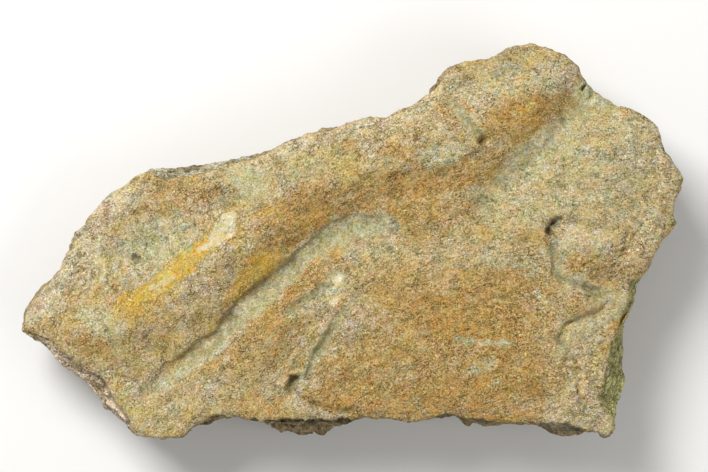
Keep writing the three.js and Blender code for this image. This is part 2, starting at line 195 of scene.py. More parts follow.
# x, y, half-sizes and depth of the holes where a vessel dived into the bone.
PITS = [
    (57.3, 5.8, 1.1, 0.9, 2.8), (56, 3.6, 0.9, 1.2, 2.6), (58.9, 6.8, 0.9, 0.5, 1.8),
    (55.5, 6.4, 0.5, 0.4, 1), (57.2, 2.4, 0.5, 0.7, 1.4), (75, -6.5, 0.6, 0.4, 0.9),
    (66, -6.3, 0.7, 0.5, 1), (68.5, -8.4, 0.6, 0.5, 0.9), (63, -7, 0.5, 0.9, 1), (72, -5, 0.7, 0.4, 0.8),
    (70.5, -3.2, 0.5, 0.4, 0.7), (74.5, -10, 0.5, 0.4, 0.8), (77, -2, 0.7, 0.5, 1),
    (80.5, 2.5, 0.6, 0.5, 1), (78, 6, 0.8, 0.4, 0.9), (83, 5, 0.5, 0.5, 0.9), (-17.4, -39.3, 1.5, 1.1, 2.4),
    (-18.3, -41.3, 1.1, 1.8, 2.2), (-17.8, -43, 0.9, 0.9, 1.2), (37, 29.3, 1.3, 1, 2.6),
    (-63, -5, 1, 1, 2.2), (-62, -10, 0.4, 0.5, 0.9), (-46, 5, 0.4, 0.4, 0.9), (3, -23, 0.35, 0.35, 1.1),
    (18, -29.5, 0.35, 0.35, 0.9), (64.5, -37, 0.5, 0.45, 1.1), (60, 35, 1, 0.9, 1.4),
    (52.3, 32.5, 1, 0.7, 1.1), (-21, 3.5, 0.7, 0.5, 0.8), (11.5, 5.5, 0.9, 0.7, 0.9),
]
# Stretches where the broken side shows from above. Each is the line of the rim, with the side on
# its left; at each stop: x, y, how far the side starts under the face, and its slope.
BARED_RIMS = [
    [(92, -7, 1, 1), (84, -9.8, 1, 1), (78.5, -11.3, 0.8, 1), (80, -14.7, 0.6, 0.8),
     (79.9, -19.6, 0.5, 0.8), (77.5, -23, 0.6, 0.7), (75.8, -25.5, 0.7, 0.7), (74, -29.4, 0.7, 0.7),
     (73, -33.9, 0.8, 0.7), (72.4, -38, 0.8, 0.7), (71, -43.3, 0.8, 0.7), (69.6, -44.6, 0.8, 0.7),
     (70.4, -46.8, 0.8, 0.8), (73, -48.9, 0.8, 0.9), (82, -50.5, 0.8, 1)],
    [(80, -58, 1, 1), (71.6, -55.8, 1, 1), (68, -54.7, 1.5, 1.2), (63.8, -52.7, 2.5, 1.2),
     (59.8, -52, 2.5, 1.2), (53.4, -52, 1.5, 1.5), (47, -52.6, 1, 2), (46, -58, 1, 2)],
    [(46, -58, 4, 1), (43, -52.2, 4, 1), (38.5, -51, 6, 0.8), (34.7, -50.5, 7, 0.8), (32.3, -50.3, 7, 0.8),
     (28.7, -49.8, 5, 1), (25, -49.5, 4, 1), (23, -55, 4, 1)],
    [(6, -58, 4, 0.8), (1.8, -51, 5, 0.8), (-3.5, -50.2, 7, 0.7), (-9.6, -50.2, 8, 0.6),
     (-14.8, -51, 8, 0.6), (-19.7, -51, 8, 0.6), (-26.8, -51.3, 6, 0.8), (-30, -50, 4, 1),
     (-34, -56, 4, 1)],
    [(-63, -60, 1.6, 0.3), (-65.4, -51.4, 1.5, 0.3), (-68, -47.1, 1.5, 0.3), (-70, -43.8, 1.5, 0.3),
     (-73.2, -39.9, 1.5, 0.3), (-77.5, -37.3, 1.5, 0.3), (-81.8, -34.1, 1.4, 0.3), (-85.5, -30.6, 1.2, 0.3),
     (-89, -27.8, 1, 0.3), (-97, -25, 0.8, 0.3)],
    [(-61, 26, 1, 1), (-57.5, 19.4, 1, 1), (-54.5, 18, 2, 0.7), (-52, 18.4, 2.6, 0.6),
     (-50, 19.6, 2.6, 0.6), (-46.5, 20.2, 2.4, 0.6), (-41, 21, 2.8, 0.6), (-36.6, 23.1, 2.4, 0.7),
     (-33, 24.7, 1.5, 1), (-30, 30, 1, 1)],
]
BARED_REACH = 14
BARED_LAYER = 1.1
LAYER_EDGE = (0.1, 0.5)
LEAST_BARED = 0.1
# Unevenness is given as pairs: the width of the lumps, and their rise or reach.
LAYER_WAVES = (12, 0.6)
RIM_WANDER = [(6, 0.7), (2, 0.45)]
ROUTE_WANDER = [(6, 0.6), (2.2, 0.5), (1.1, 0.2)]
WEAR_WAVES = (5, 0.6)
FACE_LUMPS = [(17, 0.9), (7, 0.5), (3.6, 0.22)]
# Ripples along the fibres: width, how many times longer than wide, rise.
LONG_RIPPLES = (3.4, 2.6, 0.28)
# The fibres climb to the right, and turn flatter over this stretch towards the lower right.
FIBRE_TURN = math.radians(37)
FLAT_FIBRE_TURN = math.radians(14)
FIBRE_PIVOT = (20, -10)
FLATTER_FROM, FLATTER_TO = -8, 72
FLATTER_LEAN = 0.6
NOISE_CELLS = 64


def unevenness(places, size, seed):
    """Smooth noise from about -1 to 1 at each place. size is the width of its lumps."""
    slopes = np.random.default_rng(seed).normal(size=(NOISE_CELLS, NOISE_CELLS, NOISE_CELLS, 3))
    scaled = places / size
    whole = np.floor(scaled).astype(int)
    part = scaled - whole
    ease = part * part * (3 - 2 * part)
    total = np.zeros(len(places))
    for corner in itertools.product((0, 1), repeat=3):
        index = (whole + corner) % NOISE_CELLS
        rise = (slopes[index[:, 0], index[:, 1], index[:, 2]] * (part - corner)).sum(1)
        share = np.where(corner, ease, 1 - ease).prod(1)
        total += rise * share
    return total


def blend_step(low, high, values):
    share = np.clip((values - low) / (high - low), 0, 1)
    return share * share * (3 - 2 * share)


def follow(route, places):
    """Distance of each place from the route, its side (1 on the right), and the route's values."""
    stops = np.array(route, float)
    steps = np.diff(stops[:, :2], axis=0)
    rights = np.stack([steps[:, 1], -steps[:, 0]], 1)
    rights /= np.maximum(np.hypot(rights[:, 0], rights[:, 1]), 1e-9)[:, None]
    corners = np.concatenate([rights[:1], rights[:-1] + rights[1:], rights[-1:]])
    nearest = np.full(len(places), np.inf)
    side = np.ones(len(places))
    values = np.zeros((len(places), stops.shape[1] - 2))
    for number, step in enumerate(steps):
        start, end = stops[number:number + 2]
        share = np.clip((places - start[:2]) @ step / max(step @ step, 1e-9), 0, 1)[:, None]
        offset = places - start[:2] - share * step
        distance = np.hypot(offset[:, 0], offset[:, 1])
        nearer = distance < nearest
        right = np.where(share > 0, rights[number], corners[number])
        right = np.where(share < 1, right, corners[number + 1])
        nearest[nearer] = distance[nearer]
        side[nearer] = np.sign((offset * right).sum(1))[nearer]
        values[nearer] = (start[2:] + share * (end[2:] - start[2:]))[nearer]
    return nearest, side, values


def wander(places, steps, seed):
    """Places moved a little sideways, so that a line drawn through them isn't smooth."""
    moved = places[:, :2].copy()
    flat_places = places * (1, 1, 0)
    for number, (size, reach) in enumerate(steps):
        for axis in (0, 1):
            moved[:, axis] += reach * unevenness(flat_places, size, seed + 2 * number + axis)
    return moved


def along_fibres(x, y):
    """Coordinates along and across the bone fibres, which lie flatter on the lower right."""
    flat = blend_step(FLATTER_FROM, FLATTER_TO, x - FLATTER_LEAN * y)
    turn = FIBRE_TURN + (FLAT_FIBRE_TURN - FIBRE_TURN) * flat
    pivot_x, pivot_y = x - FIBRE_PIVOT[0], y - FIBRE_PIVOT[1]
    along = pivot_x * np.cos(turn) + pivot_y * np.sin(turn)
    return along, pivot_y * np.cos(turn) - pivot_x * np.sin(turn)


def fibrous_unevenness(x, y, size, stretch, seed):
    along, across = along_fibres(x, y)
    return unevenness(np.stack([along / stretch, across, np.zeros_like(x)], 1), size, seed)


def face_height(x, y):
    """Height of the outer face over the ground, in millimetres."""
    ground = np.stack([x, y, np.zeros_like(x)], 1)
    wandering = wander(ground, ROUTE_WANDER, seed=11)
    wear_width, wear_change = WEAR_WAVES
    worn_depth = 1 + wear_change * unevenness(ground, wear_width, seed=17)
    z = FACE_HEIGHT - THIN_END_DROP * blend_step(*THIN_END, x) - THICK_END_DROP * blend_step(*THICK_END, x)
    for reach, rise, route in FOLDS:
        distance, _, _ = follow(route, ground[:, :2])
        z += rise * np.exp(-(distance / reach) ** 2)
    for at_x, at_y, long, wide, turn, rise in SWELLS:
        cosine, sine = math.cos(math.radians(turn)), math.sin(math.radians(turn))
        along = (x - at_x) * cosine + (y - at_y) * sine
        across = (y - at_y) * cosine - (x - at_x) * sine
        z += rise * np.exp(-(along / long) ** 2 - (across / wide) ** 2)
    for number, (size, rise) in enumerate(FACE_LUMPS):
        z += rise * unevenness(ground, size, seed=1 + number)
    size, stretch, rise = LONG_RIPPLES
    z += rise * fibrous_unevenness(x, y, size, stretch, seed=7)
    for route, wall_run in zip(CHANNELS, WALL_RUNS):
        distance, side, values = follow(route, wandering)
        width, depth = values.T
        signed = distance * side
        wall = np.exp(-(np.minimum(signed, 0) / wall_run) ** 2)
        floor = 1 - blend_step(*CHANNEL_FLOOR, np.maximum(signed, 0) / width)
        z -= CHANNEL_DEPTH * worn_depth * depth * wall * floor
    for reach, rise, route in CREASES:
        distance, _, _ = follow(route, wandering)
        z += CREASE_DEPTH * rise * worn_depth * np.exp(-(distance / reach) ** 2)
    for at_x, at_y, long, wide, depth in PITS:
        spread = ((wandering[:, 0] - at_x) / long) ** 2 + ((wandering[:, 1] - at_y) / wide) ** 2
        z -= depth * np.exp(-spread ** 1.5)
    return z


def bared_depth(places):
    """How far the bared side lies under the face at each place. It steps down in thin layers."""
    depth = np.zeros(len(places))
    moved = wander(places, RIM_WANDER, seed=71)
    for rim in BARED_RIMS:
        distance, side, values = follow(rim, moved)
        start, slope = values.T
        beyond = (side < 0) & (distance < BARED_REACH)
        depth = np.maximum(depth, np.where(beyond, start + slope * distance, 0))
    wave_width, wave_rise = LAYER_WAVES
    layers = depth / BARED_LAYER + wave_rise * unevenness(places, wave_width, seed=75)
    part = layers - np.floor(layers)
    stepped = depth + BARED_LAYER * (blend_step(*LAYER_EDGE, part) - part)
    return np.where(depth > 0, np.maximum(stepped, LEAST_BARED), 0)


def read_shape(piece):
    vertices = piece.data.vertices
    points = np.empty(len(vertices) * 3)
    vertices.foreach_get("co", points)
    normals = np.empty(len(vertices) * 3)
    piece.data.vertex_normals.foreach_get("vector", normals)
    return points.reshape(-1, 3) / MM, normals.reshape(-1, 3)


def write_shape(piece, points):
    piece.data.vertices.foreach_set("co", (points * MM).ravel())
    piece.data.update()


def read_values(piece, name):
    values = np.empty(len(piece.data.vertices))
    piece.data.attributes[name].data.foreach_get("value", values)
    return values


def write_values(piece, name, values):
    attributes = piece.data.attributes
    attribute = attributes.get(name) or attributes.new(name, "FLOAT", "POINT")
    attribute.data.foreach_set("value", values)


# The steep sides give the rim, from this share of the height up to this far under the face. The
# face is what faces up, or lies further in than the rim's band, and isn't much too low.
STEEP = 0.4
SIDE_BOTTOM = 0.45
SIDE_TOP = 4
FACING_UP = (0.35, 0.75)
RIM_BAND = (1.5, 3)
FACE_DEPTH = (5, 8)
# A bared side keeps this share of the face's height, and side points this near it are lifted to it.
BARED_SHARE = 0.35
LIFT_REACH = (3, 6)
BARED_START = (0.1, 0.5)

points, normals = read_shape(slab)
for at_x, at_y, reach, shift_x, shift_y in OUTLINE_SHIFTS:
    share = np.exp(-((points[:, 0] - at_x) ** 2 + (points[:, 1] - at_y) ** 2) / reach ** 2)
    points[:, :2] += share[:, None] * (shift_x, shift_y)
face = face_height(points[:, 0], points[:, 1])
heights = points[:, 2]
on_side = (heights > SIDE_BOTTOM * face) & (heights < face - SIDE_TOP)
on_side &= np.abs(normals[:, 2]) < STEEP
side_tree = kdtree.KDTree(int(on_side.sum()))
for number, (x, y, _) in enumerate(points[on_side]):
    side_tree.insert((x, y, 0), number)
side_tree.balance()
rim_distance = np.zeros(len(points))
for number in np.flatnonzero(heights > face - FACE_DEPTH[1]):
    rim_distance[number] = side_tree.find((points[number, 0], points[number, 1], 0))[2]
facing_up = np.maximum(blend_step(*FACING_UP, normals[:, 2]), blend_step(*RIM_BAND, rim_distance))
on_face = facing_up * (1 - blend_step(*FACE_DEPTH, face - heights))
worn_face = face - EDGE_WEAR * np.exp(-rim_distance / EDGE_WEAR_REACH)
points[:, 2] += on_face * (worn_face - points[:, 2])
bared = bared_depth(points)
bared_face = np.maximum(worn_face - bared, BARED_SHARE * face)
lifted = np.where(bared > 0, 1 - blend_step(*LIFT_REACH, bared_face - points[:, 2]), 0)
points[:, 2] += lifted * np.maximum(bared_face - points[:, 2], 0)
points[:, 2] = np.minimum(points[:, 2], bared_face)
on_face *= 1 - blend_step(*BARED_START, bared)

# ---- The bone slab: broken sides and underside ----
# The break goes through thin layers of bone that run along the face, and spongy bone between
# them, so the sides step back in ledges with small pores. The underside is broken spongy bone.

# Each kind of ledge: length, how many times longer than high, depth, softness of its edge.
LEDGES = [(22, 4, 2, 0.15), (11, 4, 1.3, 0.15), (5, 3, 0.7, 0.2)]
LEDGE_START = (0.8, 6)
BREAK_LUMPS = [(16, 1.6), (7, 0.8), (3, 0.5)]
LEAST_LUMPS = 0.1
# Bared strips stay fuller and smoother: away from them, and lower down, the break is undercut.
UNDERCUT_AWAY = (2, 9)
UNDERCUT_BELOW = (12, 17)
LEDGE_UNDERCUT = 0.2
LUMP_UNDERCUT = 0.3
BARED_ROUGHNESS = 0.4

broken = 1 - on_face
below = worn_face - points[:, 2]
deep = blend_step(*LEDGE_START, below)
rim_gap = np.full(len(points), np.inf)
for rim in BARED_RIMS:
    gap, _, _ = follow(rim[1:-1], points[:, :2])
    rim_gap = np.minimum(rim_gap, gap)
undercut = np.maximum(blend_step(*UNDERCUT_AWAY, rim_gap), blend_step(*UNDERCUT_BELOW, below))
ledges = np.zeros(len(points))
for number, (size, flatness, rise, softness) in enumerate(LEDGES):
    layered = unevenness(points * (1, 1, flatness), size, seed=31 + number)
    ledges += rise * (blend_step(-softness, softness, layered) - 0.5 - LEDGE_UNDERCUT * undercut)
lumps = np.zeros(len(points))
for number, (size, rise) in enumerate(BREAK_LUMPS):
    lumps += rise * (unevenness(points, size, seed=41 + number) - LUMP_UNDERCUT * undercut)
sideways = 1 - np.abs(normals[:, 2])
lumpy = LEAST_LUMPS + (1 - LEAST_LUMPS) * deep
roughness = BARED_ROUGHNESS + (1 - BARED_ROUGHNESS) * undercut
move = (ledges * sideways * deep + lumps * lumpy) * roughness
points += (broken * move)[:, None] * normals
points[:, 2] = np.maximum(points[:, 2], 0)
write_shape(slab, points)
write_values(slab, "broken", broken)
write_values(slab, "below", below)

# ---- The bone slab: grain of the surface ----
# The skin of the face is fibrous and gritty, with a few small vessel holes, and it crumbles near
# the right-hand edge. Broken spongy bone is coarser and full of pores.

FINE_VOXEL = 0.45 * MM
FACE_GRAIN = [(2.6, 0.2), (1.3, 0.17), (0.8, 0.08)]
FIBRE_SIZE = 1
FIBRE_STRETCH = 2.6
FIBRE_RISE = 0.16
# Crumbled zones: x, y, half-length, half-width, amount.
CRUMBLED = [
    (64, -40, 9, 12, 0.9), (86, 12, 8, 14, 0.8), (76, 0, 10, 8, 0.8), (58, -24, 10, 12, 0.6),
    (80, 32, 10, 8, 0.4),
]
CRUMB_GRAIN = [(2.2, 0.42), (1.1, 0.25)]
BREAK_GRAIN = [(1.8, 0.4), (0.9, 0.2)]
SPONGE_PORE = 1.6
SPONGE_FLATNESS = 1.3
SPONGE_DEPTH = 0.8
SPONGY_PATCH = 15
HOLE_COUNT = 140
HOLE_FIELD = (93, 56)
HOLE_RADIUS = 0.22
HOLE_SPREAD = 0.3
HOLE_DEPTH = 1.5
FINISHED_TRIANGLES = 192000

slab.data.remesh_voxel_size = FINE_VOXEL
slab.data.use_remesh_preserve_attributes = True
bpy.ops.object.voxel_remesh()
points, normals = read_shape(slab)
broken = read_values(slab, "broken")
x, y, _ = points.T
crumbled = np.zeros(len(points))
for at_x, at_y, long, wide, amount in CRUMBLED:
    spread = ((x - at_x) / long) ** 2 + ((y - at_y) / wide) ** 2
    crumbled = np.maximum(crumbled, amount * np.exp(-spread ** 1.5))
grain = FIBRE_RISE * fibrous_unevenness(x, y, FIBRE_SIZE, FIBRE_STRETCH, seed=81) * (1 - crumbled)
for number, (size, rise) in enumerate(FACE_GRAIN):
    grain += rise * unevenness(points, size, seed=82 + number)
for number, (size, rise) in enumerate(CRUMB_GRAIN):
    rounded = 1 - 2 * np.abs(unevenness(points, size, seed=86 + number))
    grain += rise * crumbled * rounded
holes = np.random.default_rng(21)
hole_places = [holes.uniform(-reach, reach, HOLE_COUNT) for reach in HOLE_FIELD]
hole_sizes = HOLE_RADIUS + HOLE_SPREAD * holes.random(HOLE_COUNT) ** 3
for at_x, at_y, size in zip(*hole_places, hole_sizes):
    near = np.abs(x - at_x) + np.abs(y - at_y) < 4 * size
    spread = ((x[near] - at_x) ** 2 + (y[near] - at_y) ** 2) / size ** 2
    grain[near] -= HOLE_DEPTH * size * np.exp(-spread ** 1.5)
rough = np.zeros(len(points))
for number, (size, rise) in enumerate(BREAK_GRAIN):
    rough += rise * unevenness(points, size, seed=91 + number)
sponge = blend_step(0.25, 0.75, unevenness(points * (1, 1, SPONGE_FLATNESS), SPONGE_PORE, seed=51))
spongy = blend_step(-0.2, 0.5, unevenness(points, SPONGY_PATCH, seed=52))
rough -= SPONGE_DEPTH * sponge * spongy
points += (grain * (1 - broken) + rough * broken)[:, None] * normals
points[:, 2] = np.maximum(points[:, 2], 0)
write_shape(slab, points)
write_values(slab, "crumbled", crumbled)

bpy.ops.object.mode_set(mode="EDIT")
bpy.ops.mesh.select_all(action="SELECT")
bpy.ops.mesh.quads_convert_to_tris()
bpy.ops.object.mode_set(mode="OBJECT")
apply_modifier(slab, "DECIMATE", ratio=FINISHED_TRIANGLES / len(slab.data.polygons))
points, _ = read_shape(slab)
points[:, 2] = np.maximum(points[:, 2], 0)
write_shape(slab, points)
bpy.ops.object.shade_smooth()

# ---- The bone slab: stains, films, dirt and painted shade ----
# The old rock left a grey-green film in the hollows, and iron stained the ridges orange. A yellow
# mineral fills one vein. Each is laid along its own strokes: x, y, half-width, strength.

STROKES = {
    "film": [
        [(-59, -44.5, 1.3, 0.6), (-52.5, -39, 1.8, 0.9), (-46.5, -34.5, 2.2, 1), (-40, -29, 2.4, 1),
         (-34, -22.5, 2.4, 1), (-28, -17.5, 2.6, 1), (-22.5, -12, 2.6, 1), (-18, -8, 2.8, 1),
         (-13.5, -3, 3, 1), (-8.5, 1, 3.6, 1), (-4, 3.5, 4, 1), (1.5, 4.5, 3.6, 1), (7, 5, 3.2, 1),
         (11.5, 5, 2.4, 0.9)],
        [(-15.5, -39, 1.2, 0.8), (-12.5, -35.5, 1.6, 0.8), (-10, -30.5, 1.8, 0.8), (-7, -25.5, 1.6, 0.7),
         (-4, -21.5, 1.5, 0.7), (-2, -19, 1.5, 0.6)],
        [(-20, -21, 2, 0.5), (-15.5, -18, 3, 0.6), (-10.5, -15.5, 3.5, 0.7), (-6.5, -13, 3, 0.8),
         (-4, -9.5, 2.5, 0.7)],
        [(70.5, 40, 3, 0.5), (65.5, 37.5, 4, 0.6), (60, 32.5, 4.5, 0.7), (55, 27.5, 5, 0.8),
         (49, 22.5, 5, 0.8), (44, 19, 4, 0.7)],
        [(43.5, 11, 9, 0.6), (53.5, 14, 12, 0.6), (65, 19.5, 13, 0.55), (75, 26.5, 12, 0.6),
         (82, 31, 8, 0.6), (86.5, 22.5, 7, 0.55), (82, 14, 10, 0.5), (70.5, 9.5, 8, 0.5)],
        [(60, -27.5, 2.5, 1), (65, -25, 2.8, 1), (70.5, -23, 2.5, 0.9), (75.5, -20, 2, 0.8)],
        [(79, -17, 1.2, 1), (69.5, -21.3, 1.6, 1), (63, -23.5, 1.6, 1), (60.3, -26.5, 1.5, 1),
         (60.3, -30, 1.3, 1), (62.5, -33.5, 1, 0.9), (65, -41, 0.8, 0.8), (66.6, -48, 0.8, 0.7)],
        [(57.3, 1, 1, 0.8), (57.8, -4, 1.2, 1), (58.2, -8.5, 1.3, 1), (61, -11.3, 1.3, 1),
         (65, -12.8, 1.3, 1), (69.5, -14.7, 1.3, 1), (72, -16, 1.4, 1), (77, -15.5, 1.4, 0.9)],
        [(29.5, 39.5, 1.8, 0.8), (32, 36, 2, 0.9), (35, 32, 1.8, 0.8)],
        [(19.5, 24.5, 3, 0.6), (24, 24.5, 3.5, 0.7), (28.5, 25.5, 3, 0.6)],
        [(-34, 19, 4, 0.7), (-30, 18, 6, 0.8), (-26.5, 16.5, 6, 0.7), (-23.5, 15, 4, 0.5)],
        [(-65, -5.5, 7, 0.6), (-61.5, -2, 8, 0.8), (-56, 1, 8, 0.9), (-50.5, 3, 6, 0.7)],
        [(-77, -21.5, 4, 0.6), (-73, -23, 5, 0.8), (-69, -24, 4, 0.6)],
        [(-67.5, -45, 5, 0.4), (-59, -49.5, 8, 0.35), (-47.5, -46.5, 8, 0.3), (-36, -44, 7, 0.3),
         (-26.5, -45, 5, 0.3)],
        [(65, 44.5, 2.5, 0.8), (67, 41.5, 3, 0.9), (70.5, 39.5, 3, 0.7)],
        [(74, -13.5, 1.6, 0.7), (70.5, -14, 2, 0.8), (66, -12, 2, 0.9), (61.5, -11, 2, 0.9),
         (59, -8, 1.8, 0.9), (59.5, -4, 1.6, 0.8), (59, 0, 1.5, 0.8)],
        [(28.5, -27.5, 0.9, 0.6), (36, -28.5, 1.1, 0.8), (43.5, -29, 1, 0.7), (47.5, -29.5, 0.8, 0.4)],
        [(38, -6, 0.8, 0.5), (45.5, -6.5, 1, 0.6), (53, -7, 0.8, 0.5)],
        [(35, -36.5, 2, 0.6), (39.5, -34.5, 2, 0.6)], [(-25, -44, 1, 0.7), (-21, -41.5, 1, 0.7)],
        [(29, 43.5, 4, 0.35), (36, 46, 5, 0.5), (43.5, 46.5, 5, 0.5), (50.5, 47, 5, 0.45),
         (57, 48, 5, 0.45)],
        [(-15.5, 22.5, 5, 0.35), (-8.5, 26.5, 5, 0.4), (-2.5, 29, 4, 0.3)],
        [(55, -48.5, 3, 0.3), (60.5, -48.5, 4, 0.5), (68, -51, 4, 0.5)],
        [(13, -2, 6, 0.3), (22, -4, 6, 0.35), (30.5, -2, 6, 0.4), (42, -2, 6, 0.45), (50.5, -2, 5, 0.3)],
        [(-2.5, -0.5, 3, 0.5), (1.5, -4, 3, 0.4), (6, -2, 3, 0.5), (9, 1.5, 2.5, 0.5)],
    ],
    "iron": [
        [(62, -36, 5, 0.35), (65, -41, 5, 0.4), (69, -47, 4, 0.35)],
        [(-37, -16.5, 2.5, 0.4), (-33, -12, 3, 0.6), (-27.5, -7.5, 3.5, 0.8), (-22, -0.5, 4, 0.8),
         (-16, 5, 5, 0.85), (-8.5, 10, 5, 0.8), (0, 13.5, 5, 0.7), (10.5, 16, 5, 0.7), (20.5, 17.5, 5, 0.7),
         (30, 19, 4.5, 0.7), (39, 21.5, 4, 0.6), (46, 25.5, 4, 0.4)],
        [(-26.5, 5, 3, 0.5), (-21.5, 8.5, 4, 0.8), (-15.5, 11, 4.5, 0.85), (-9.5, 13.5, 3.5, 0.6)],
        [(7.5, -21.5, 6, 0.5), (16, -20, 8, 0.75), (26, -21.5, 9, 0.9), (36, -23.5, 9, 0.95),
         (46, -24.5, 8, 0.9), (55, -25, 5, 0.7)],
        [(-12, -46, 4, 0.7), (-4, -44, 7, 0.8), (7.5, -44.5, 8, 0.75), (19, -45, 8, 0.75),
         (30.5, -44.5, 9, 0.8), (42, -43, 10, 0.95), (52, -42, 9, 0.95), (58.5, -41, 5, 0.7)],
        [(11.5, -12, 8, 0.6), (22, -12, 8, 0.6), (33.5, -13.5, 8, 0.65), (45, -15, 8, 0.7),
         (53.5, -16.5, 6, 0.6)],
        [(-7, -36.5, 5, 0.5), (4.5, -33.5, 8, 0.55), (19, -34.5, 9, 0.6), (33.5, -35, 9, 0.7),
         (47.5, -33.5, 9, 0.8)],
        [(13, 8, 4, 0.8), (19, 10, 4, 0.6), (27.5, 8, 5, 0.5), (36, 11, 4, 0.5), (47.5, 8, 5, 0.5),
         (55, 11, 3, 0.4)],
        [(19, 1, 5, 0.5), (29, 3, 4, 0.55), (42, 2, 5, 0.5), (53.5, 1, 4, 0.6)],
        [(39.5, 35, 2, 0.7), (43, 36.5, 3.5, 0.85), (47.5, 37.5, 4, 0.95), (52, 38, 4, 0.95),
         (57, 39.5, 3.5, 0.8), (62, 40.5, 2.5, 0.7)],
        [(37.5, 33, 2, 0.5), (42, 32, 3, 0.5), (47.5, 32.5, 4, 0.45)],
        [(47.5, 45, 1.2, 0.9), (48, 43.5, 1.4, 0.8)],
        [(30, 41, 1.2, 0.8), (32, 39, 1.5, 0.9), (33.5, 37.5, 1, 0.6)],
        [(26, 36.5, 2.4, 0.6), (28.5, 35, 2.6, 0.6)], [(-1, 28, 2, 0.6), (1, 26.5, 2, 0.6)],
        [(8.5, 26.5, 2, 0.6), (11, 26.5, 2.6, 0.85), (13.5, 26, 2, 0.6)],
        [(17, 24.5, 2.4, 0.8), (20, 22, 2.5, 0.6)],
        [(-41, -37, 3, 0.5), (-34.5, -31.5, 3, 0.6), (-27.5, -25.5, 3, 0.7), (-21.5, -20, 3, 0.8),
         (-15.5, -13.5, 3, 0.8), (-10.5, -8, 3, 0.7), (-6.5, -3, 2.5, 0.7), (-2.5, -1, 2, 0.5)],
        [(-36, -42.5, 4, 0.3), (-28.5, -35, 5, 0.45), (-21.5, -28, 5, 0.5), (-15.5, -21.5, 4, 0.4)],
        [(-30, -46.5, 4, 0.6), (-23, -47.5, 4, 0.6), (-18.5, -48, 2, 0.4)],
        [(-68, 11, 4, 0.45), (-64.5, 15, 3, 0.4), (-59, 17.5, 4, 0.45), (-50, 16.5, 4, 0.5),
         (-41.5, 14, 3, 0.5)],
        [(-61.5, 11, 3, 0.5), (-54.5, 12.5, 4, 0.5), (-47.5, 11.5, 3, 0.5)],
        [(-84.5, -22, 4, 0.4), (-80.5, -26.5, 5, 0.5), (-74.5, -29.5, 4, 0.6), (-70.5, -31.5, 3, 0.4)],
        [(-71.5, -13, 4, 0.35), (-66, -18, 5, 0.4), (-59, -20, 5, 0.4), (-52, -21, 4, 0.3)],
        [(72.5, 7.5, 2, 0.7), (73.5, 6.5, 1.4, 0.6)], [(80, 7.5, 1.6, 0.7), (81.5, 6.5, 1.6, 0.7)],
        [(62.5, -5.5, 1.1, 0.7), (64, -8, 1.1, 0.8)],
        [(66.5, -5.5, 1.6, 0.6), (69.5, -6.5, 1.8, 0.6), (72.5, -8.5, 1.6, 0.5)],
        [(72, -31, 1.2, 0.8), (73, -33.5, 1, 0.6)], [(72, -42, 1.2, 0.7)],
        [(77, -21, 1.5, 0.7), (75, -24, 1.5, 0.6)], [(83.5, 15, 3, 0.4), (86.5, 11, 3, 0.5)],
        [(70.5, 26.5, 4, 0.3), (78, 29.5, 4, 0.35)],
        [(77, -5.5, 4, 0.4), (62, -18.5, 2, 0.6), (66, -19.5, 1.6, 0.5)],
        [(26, -26.5, 1.3, 0.8), (24.5, -23, 1.2, 0.8), (24, -19, 1.2, 0.7)],
        [(-92, -25, 2, 0.5), (-90, -22, 2, 0.4)],
    ],
    "yellow": [
        [(-69.5, -21.5, 2.8, 0.4), (-66.5, -18, 3, 0.7), (-62, -15.5, 2.4, 1.05), (-58, -13.5, 2.6, 1.2),
         (-53.5, -10.5, 2.7, 1.2), (-49.5, -7, 2.7, 1.2), (-45.5, -3, 2.6, 1.2), (-42, -0.5, 2.4, 1.1),
         (-39, 2, 2, 1)],
        [(-65, -20, 3, 0.5), (-61.5, -19, 3, 0.4)],
        [(-30, 7, 1, 0.5), (-27, 8.5, 1, 0.7), (-23.5, 9.5, 1, 0.6)],
        [(-36.5, -17.5, 2, 0.5), (-33, -13.5, 2.4, 0.7), (-29, -8.5, 3, 0.75), (-24.5, -5, 3, 0.7),
         (-21, -2, 2, 0.4)],
        [(47.5, 38, 2.4, 0.5), (50.5, 39, 2, 0.5)], [(-73.5, -9, 0.8, 0.5), (-72, -12, 0.8, 0.4)],
        [(-51.5, -13.5, 3, 0.35), (-61.5, -22, 3, 0.35)],
    ],
    "white": [
        [(-39.5, 1, 1.8, 1.2), (-37.3, 3.8, 2.8, 1.5), (-36, 6.3, 2.5, 1.5), (-34.8, 7.8, 1.2, 1.2)],
        [(-44.5, -2, 1, 0.8), (-42, -1, 1.2, 0.9)],
        [(-73.5, 1, 1, 1.2), (-73.8, -4, 1.3, 1.6), (-73.6, -8, 1.2, 1.6), (-73, -11, 1, 1.3),
         (-71, -13.5, 0.8, 0.9)],
        [(-59, -13.5, 0.9, 0.5), (-55.5, -12, 1.2, 0.6), (-51.5, -9.5, 1.2, 0.5)],
        [(-5.5, -10.5, 1.2, 0.8), (-4, -9.5, 1, 0.9), (-5, -12, 0.8, 0.8)],
        [(-6, -17, 1, 0.9), (-4.5, -15.5, 0.8, 0.7)], [(78, 24.5, 0.9, 0.9)], [(82, 23, 1.1, 0.9)],
        [(52.5, -14.5, 1.1, 0.8), (53.5, -15.5, 0.7, 0.7)], [(55, -17, 0.9, 0.8)], [(5, 25, 0.9, 0.9)],
        [(15.5, 25, 0.7, 0.8)], [(39, -41, 0.6, 0.8), (41, -40, 0.6, 0.7)],
        [(75, 37.5, 1.4, 0.6), (76.5, 37, 1, 0.5)], [(61.5, -13, 0.7, 0.6)],
    ],
    "worn": [
        [(-64, -4, 5, 0.5), (-58, 0, 6, 0.6), (-53, 2, 5, 0.5)],
        [(-93.5, -21.5, 3, 0.6), (-89, -16.5, 4, 0.8), (-84.5, -10, 4, 0.8), (-79.5, -2, 4.5, 0.8),
